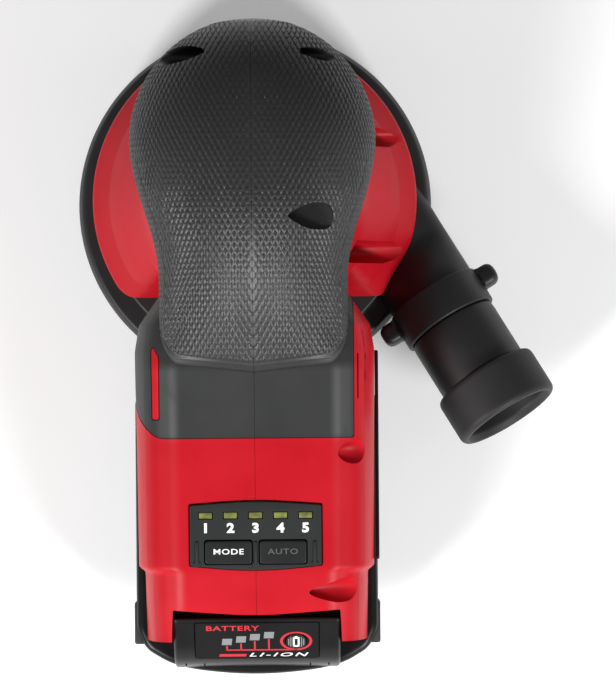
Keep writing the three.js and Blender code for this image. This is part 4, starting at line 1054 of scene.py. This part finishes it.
def lettering(name, words, size, place, width=1.0, thick=0.012, depth=0.05, slant=0.0, spacing=1.0):
    """Words as a thin raised mesh: size is the letters' height setting in millimetres."""
    curve = bpy.data.curves.new(name, "FONT")
    curve.body = words
    curve.size = size * MM
    curve.align_x = "CENTER"
    curve.align_y = "CENTER"
    curve.offset = thick * size * MM
    curve.extrude = depth * MM
    curve.shear = slant
    curve.space_character = spacing
    curve.resolution_u = 3
    source = bpy.data.objects.new(name + "_source", curve)
    bpy.context.scene.collection.objects.link(source)
    graph = bpy.context.evaluated_depsgraph_get()
    mesh = bpy.data.meshes.new_from_object(source.evaluated_get(graph))
    bpy.data.objects.remove(source)
    thing = bpy.data.objects.new(name, mesh)
    bpy.context.scene.collection.objects.link(thing)
    mesh.transform(Matrix.Diagonal((width, 1, 1, 1)))
    return moved(thing, place)


def gather(name, things):
    """Puts separate solids into one object, each as it is."""
    points, faces, count = [], [], 0
    for thing in things:
        mesh = thing.data
        spots = np.empty(len(mesh.vertices) * 3)
        mesh.vertices.foreach_get("co", spots)
        points.append(spots.reshape(-1, 3) / MM)
        faces += [[v + count for v in face.vertices] for face in mesh.polygons]
        count += len(mesh.vertices)
        bpy.data.objects.remove(thing)
    return mesh_object(name, np.concatenate(points), faces)


def shifted(place, x, y, z):
    return place @ Matrix.Translation((x, y, z))


# ---- Battery ----

GAUGE_PLACE = Matrix.Translation((0, -152.7, 65.5)) @ Matrix.Rotation(math.radians(39.4), 4, "X")
GAUGE_BUTTON_X = 13.6
PRINT_Z = 0.3  # face of the gauge's label plate
KEY_PRINT_Z = 0.8  # face of the gauge's button


def pack_corners(inset=0.0):
    half, front, back = PACK_HALF - inset, PACK_FRONT - inset, PACK_REAR + inset
    right = [
        (half - 4, front, 3),
        (half, front - 4, 3),
        (half, back + 16.5, 2),
        (half - 3.2, back + 9.4, 3),
        (half * 0.66, back + 2.6, 12),
        (0, back - 0.4, 14),
    ]
    left = [(-x, y, r) for x, y, r in right[:-1]][::-1]
    return (right + left)[::-1]


def battery_top():
    """The upper half of the pack: deck, rails and the hump that carries the gauge."""
    deck = pillow("battery_top_shell", pack_corners(), PACK_SPLIT + 0.3, PACK_TOP, 2.6, 0.3, 7)
    side_on = Matrix(((0, 0, 1, 0), (1, 0, 0, 0), (0, 1, 0, 0), (0, 0, 0, 1)))
    hump_corners = [
        (-144.4, 49.0, 0),
        (-144.4, 71.5, 0.8),
        (-145.6, 71.5, 1.0),
        (-156.5, 62.4, 3),
        (-161.2, 57.2, 4),
        (-163.0, 49.0, 0),
    ]
    hump = pillow("hump", hump_corners, -29.0, 29.0, 1.3, 1.3, 6, side_on)
    join(deck, hump)
    rails = block((-28, -150, 57), (28, -65, 62))
    neck = block((-25, -150, 49), (25, -65, 58))
    join(deck, rails, neck)
    cut(deck, block((-17, -76, 52.2), (17, -60, 63)))
    cut(deck, pillow("cutter", box_corners(-21.8, 21.8, -8.9, 8.9, 1.0), -1.7, 8, 0.1, 0.1, 4, GAUGE_PLACE))
    cut(deck, moved(rod("cutter", (GAUGE_BUTTON_X, 0, -4), (GAUGE_BUTTON_X, 0, 8), 4.2), GAUGE_PLACE))
    for side in (-1, 1):
        low, high = sorted((side * 33.3, side * 47.5))
        cut(deck, block((low, -155.3, 36.7), (high, -139.7, 47.7)))
        for x in (18.5, 25.0):
            cut(deck, block((side * x - 0.25, -163, 52), (side * x + 0.25, -159.5, 56)))
    return deck


def battery_bottom():
    return pillow("battery_bottom_shell", pack_corners(), PACK_BOTTOM, PACK_SPLIT, 0.3, 3.2, 7)


def latch(side):
    """A push block with finger ridges on its outer face."""
    low, high = sorted((side * 36.9, side * 43.3))
    block_corners = box_corners(low, high, -155, -140, 1.0)
    name = "latch_left_block" if side < 0 else "latch_right_block"
    push = pillow(name, block_corners, 37.0, 47.4, 0.8, 0.8, 5)
    for y in np.arange(-153, -141, 2.4):
        cut(push, rod("cutter", (side * 43.5, y, 38.6), (side * 43.5, y, 45.8), 0.7, sides=12))
    return push


def gauge():
    """The label plate of the charge gauge, with the well of its button."""
    corners = box_corners(-21.5, 21.5, -8.6, 8.6, 0.9)
    plate = pillow("gauge_plate", corners, -1.4, PRINT_Z, 0.4, 0.2, 5, GAUGE_PLACE)
    well = rod("cutter", (GAUGE_BUTTON_X, 0, -3), (GAUGE_BUTTON_X, 0, 3), 3.85)
    return cut(plate, moved(well, GAUGE_PLACE))



def gauge_chip(x0, x1, y0, y1, lean=0.0, z=PRINT_Z):
    """A thin printed patch on the gauge plate or its button, leaning over to the right."""
    corners = [(x0, y0, 0), (x1, y0, 0), (x1 + lean, y1, 0), (x0 + lean, y1, 0)]
    return prism(corners, z - 0.05, z + 0.07, name="chip", place=GAUGE_PLACE)


def key_chip(x, y, half_x, half_y):
    """A printed patch on the gauge's button, placed from the button's middle."""
    x += GAUGE_BUTTON_X
    return gauge_chip(x - half_x, x + half_x, y - half_y, y + half_y, z=KEY_PRINT_Z)


def gauge_ring(wide, tall, inner, name):
    """An elliptical printed ring round the gauge's button."""
    turn = np.linspace(0, 2 * np.pi, 64, endpoint=False)[:, None]
    radii = np.array([1.0, 1.0, inner, inner])
    heights = np.array([PRINT_Z - 0.05, PRINT_Z + 0.07, PRINT_Z + 0.07, PRINT_Z - 0.05])
    x = GAUGE_BUTTON_X + wide * radii * np.cos(turn)
    grid = np.stack([x, tall * radii * np.sin(turn), heights + 0 * turn], -1)
    return skin(name, put(grid, GAUGE_PLACE), closed=True)


# ---- Pad ----


def pad_layer(name, corners, screw_hole):
    """A disc turned off centre by the orbit, with eight dust holes and three screw holes."""
    layer = turned(name, corners, 144, (ORBIT_OFFSET, 0))
    for i in range(8):
        turn = i * math.pi / 4
        x, y = ORBIT_OFFSET + 32.5 * math.cos(turn), 32.5 * math.sin(turn)
        cut(layer, rod("cutter", (x, y, -5), (x, y, 20), 5))
    for degrees in (30, 150, 270):
        turn = math.radians(degrees)
        x, y = ORBIT_OFFSET + 12 * math.cos(turn), 12 * math.sin(turn)
        cut(layer, rod("cutter", (x, y, -5), (x, y, 20), screw_hole))
    return layer


# ---- Build ----

CASE_NAMES = (("left_case", "left_housing"), ("right_case", "right_housing"))
halves(case(), CASE_NAMES, "housing", "red_plastic", 32)
BAND_NAMES = (("left_band_skin", "left_band"), ("right_band_skin", "right_band"))
halves(band(), BAND_NAMES, "housing", "band_rubber", 32)

NOSE_POCKETS = {-1: (48.0, 102.6, 3.4, 7.2, 13.2), 1: (48.2, 105.6, 2.4, 4.2, 16.6)}
RECESS_FLOOR = 113.0
SCREW_RECESS = [(11.4, -6.9, 1.6), (18.6, -11.6, 5), (27.4, -11.2, 4), (27.4, -2.4, 4), (18.6, -2.2, 5)]
for side, node in ((-1, "left_grip"), (1, "right_grip")):
    grip = palm_grip(side)
    y, z, wide, tall, start = NOSE_POCKETS[side]
    cut(grip, rod("cutter", (side * start, y, z), (side * 80, y - 1.0 * side, z), wide, tall))
    if side > 0:
        cut(grip, prism(SCREW_RECESS, RECESS_FLOOR, 130))
    build(grip, "housing", FINISHES["grip_rubber"], (node,), 42)

build(shroud(), "housing", FINISHES["black_plastic"], ("shroud",))
build(lock_ring(), "lock_ring", FINISHES["black_plastic"], ("lock_ring",))
build(hose_adapter(), "adapter", FINISHES["black_plastic"], ("hose_adapter",))
build(adapter_cuff(), "adapter", CUFF_RUBBER, ("adapter_cuff",))

upright = Matrix(((0, 0, 1, 0), (1, 0, 0, 0), (0, 1, 0, 0), (0, 0, 0, 1)))
badge_corners = box_corners(-125.0, -52.0, 51.6, 61.0, 1.4)
badge = pillow("side_badge_plate", badge_corners, 41.8, 42.9, 0.5, 0.1, 5, upright)
build(badge, "housing", GLOSS_BLACK, ("side_badge",))

build(panel(), "housing", FINISHES["dark_plastic"], ("control_panel",))
build(lamp_windows(), "housing", FINISHES["lens"], ("light_pipe",))
digits = [
    lettering(f"digit_{i}", str(i + 1), 4.5, shifted(PANEL_PLACE, x, 2.7, 0.03), 1.12, 0.045)
    for i, x in enumerate(WINDOW_PLACES)
]
build(gather("speed_digits", digits), "housing", WHITE_INK)
for name, x in BUTTON_PLACES.items():
    body = name + "_button"
    build(panel_button(name, x), body, BUTTON_PLASTIC, (body,))
    word_place = shifted(PANEL_PLACE, x, -5.4, 0.6)
    word = lettering(name + "_word", name.upper(), 2.7, word_place, 1.3, 0.016, spacing=1.12)
    build(word, body, WHITE_INK if name == "mode" else GREY_INK)

power = pillow("power_key", box_corners(-8, 8, 72.3, 80.7, 1.2), -39.1, -31, 0.4, 0.8, 5,
               Matrix(((1, 0, 0, 0), (0, 0, -1, 0), (0, 1, 0, 0), (0, 0, 0, 1))))
cut(power, rod("cutter", (0, 48.1, 66), (0, 48.1, 86), 9.6, sides=96))
build(power, "power_button", BUTTON_PLASTIC, ("power_button",))

build(battery_top(), "battery", GLOSS_BLACK, ("battery_top",))
build(battery_bottom(), "battery", FINISHES["black_plastic"], ("battery_bottom",))
for side, name in ((-1, "latch_left"), (1, "latch_right")):
    build(latch(side), name, FINISHES["grip_rubber"], (name,))
build(gauge(), "battery", GAUGE_FILM, ("gauge_panel",))
key = turned("gauge_key", [(0.3, -2.6, 0), (3.5, -2.6, 0), (3.5, 0.8, 0.4), (0.3, 0.8, 0)], 64)
key.data.transform(Matrix.Translation((GAUGE_BUTTON_X * MM, 0, 0)))
build(moved(key, GAUGE_PLACE), "gauge_button", BUTTON_PLASTIC, ("gauge_button",))

icon = [key_chip(x, 0, 0.3, 2.1) for x in (-0.85, 0.85)]
icon += [key_chip(0, y, 1.1, 0.35) for y in (-1.9, 1.9)]
icon.append(key_chip(0, 2.4, 0.5, 0.3))
build(gather("gauge_key_icon", icon), "gauge_button", WHITE_INK)
stripes = [key_chip(x, 0, 0.2, tall) for x, tall in ((-2.6, 1.5), (-1.85, 2.2), (1.85, 2.2), (2.6, 1.5))]
build(gather("gauge_key_stripes", stripes), "gauge_button", PALE_INK)

BARS = [(-10.5, -0.2), (-5.6, 0.95), (-0.8, 2.0), (4.1, 2.9)]
bars = [gauge_chip(x - 1.8, x + 1.6, y - 1.5, y + 1.5, 0.3) for x, y in BARS]
build(gather("gauge_bars", bars), "battery", PALE_INK)
ticks = [gauge_chip(x - 0.3, x + 0.3, -4.0, y - 1.9) for x, y in BARS]
lines = [gauge_chip(-10.8, 13.9, -4.4, -3.8), gauge_chip(13.3, 13.9, -4.0, -3.3), *ticks]
stripe = gauge_chip(-13.4, -4.0, -7.2, -6.0, 0.4)
red_print = gather("gauge_lines", [*lines, stripe, gauge_ring(5.6, 4.4, 0.83, "ring")])
build(red_print, "battery", RED_INK)
title_place = shifted(GAUGE_PLACE, -8.6, 6.1, PRINT_Z)
title = lettering("gauge_title", "BATTERY", 3.2, title_place, 1.3, 0.02, spacing=1.1)
build(title, "battery", RED_INK)
chemistry = lettering("gauge_chemistry", "LI-ION", 2.4, shifted(GAUGE_PLACE, 7.0, -6.5, PRINT_Z), 2.3, 0.01,
                      slant=0.3, spacing=1.3)
build(chemistry, "battery", WHITE_INK)

PAD_LAYERS = [
    ("pad_plate_disc", "pad_plate", "black_plastic", 8.4, 11.7, 58.5, 2.3),
    ("pad_foam_disc", "pad_foam", "foam", 1.6, 8.1, 62.3, 4.5),
    ("hook_disc", "hook_face", "hook", 0.0, 1.3, 62.5, 4.5),
]
for name, node, slot, low, high, radius, hole in PAD_LAYERS:
    waist = (radius, (low + high) / 2, 2)
    corners = [(0.4, low, 0), (radius - 0.3, low, 0.6), waist, (radius - 0.3, high, 0.6), (0.4, high, 0)]
    build(pad_layer(name, corners, hole), "pad", FINISHES[slot], (node,))

# ---- Camera, floor and light ----

CAMERA_PLACE = (0.0185, -0.0518, 1.5)
CAMERA_ROLL = math.radians(-0.45)
FOCAL = 4125.3 / 616 * 36


def studio():
    """A pale floor, two main soft lights, two weak strips and an even sky; the camera looks straight down."""
    floor = skin("floor", np.array([[[-3000, -3000, z], [3000, -3000, z], [3000, 3000, z], [-3000, 3000, z]]
                                    for z in (-8.0, -0.3)], float))
    glow = {"Emission_Color": (1, 1, 1, 1), "Emission_Strength": 0.22}
    floor_finish = Finish("pale floor", Roughness=0.7, **glow)
    tone = floor_finish.noise(300.0, 2)
    floor_finish.wear(floor_finish.blend(tone, (0.86, 0.86, 0.86), (0.88, 0.88, 0.88)), 0.7 + tone * 0.05)
    floor.data.materials.append(floor_finish.material)

    camera = bpy.data.objects.new("camera", bpy.data.cameras.new("camera"))
    camera.data.sensor_fit = "HORIZONTAL"
    camera.data.sensor_width = 36
    camera.data.lens = FOCAL
    camera.data.clip_end = 20
    camera.location = CAMERA_PLACE
    camera.rotation_euler = (0, 0, CAMERA_ROLL)
    bpy.context.scene.collection.objects.link(camera)
    bpy.context.scene.camera = camera

    for name, place, power, size in (
        ("left softbox", (-0.82, -0.95, 0.92), 20.0, (0.35, 0.45)),
        ("right softbox", (0.82, -0.95, 0.92), 18.0, (0.35, 0.45)),
        ("left strip", (-1.1, 0.1, 0.7), 0.9, (0.3, 1.2)),
        ("right strip", (1.1, 0.1, 0.7), 0.9, (0.3, 1.2)),
    ):
        light = bpy.data.objects.new(name, bpy.data.lights.new(name, "AREA"))
        light.data.shape = "RECTANGLE"
        light.data.size, light.data.size_y = size
        light.data.energy = power
        light.location = place
        aim = Vector((0, -0.05, 0.06)) - Vector(place)
        light.rotation_euler = aim.to_track_quat("-Z", "Y").to_euler()
        bpy.context.scene.collection.objects.link(light)

    world = bpy.data.worlds.new("studio")
    world.use_nodes = True
    world.node_tree.nodes["Background"].inputs["Color"].default_value = (1, 1, 1, 1)
    world.node_tree.nodes["Background"].inputs["Strength"].default_value = 0.2
    bpy.context.scene.world = world
    bpy.context.scene.view_settings.view_transform = "Standard"


studio()

# ---- Carried-over CAD nodes get the finish of their slot ----

for row in frame["record"]["subparts"]:
    node = frame["nodes"][row["node"]]
    node.data.materials.clear()
    node.data.materials.append(FINISHES[row["material_slot"]])
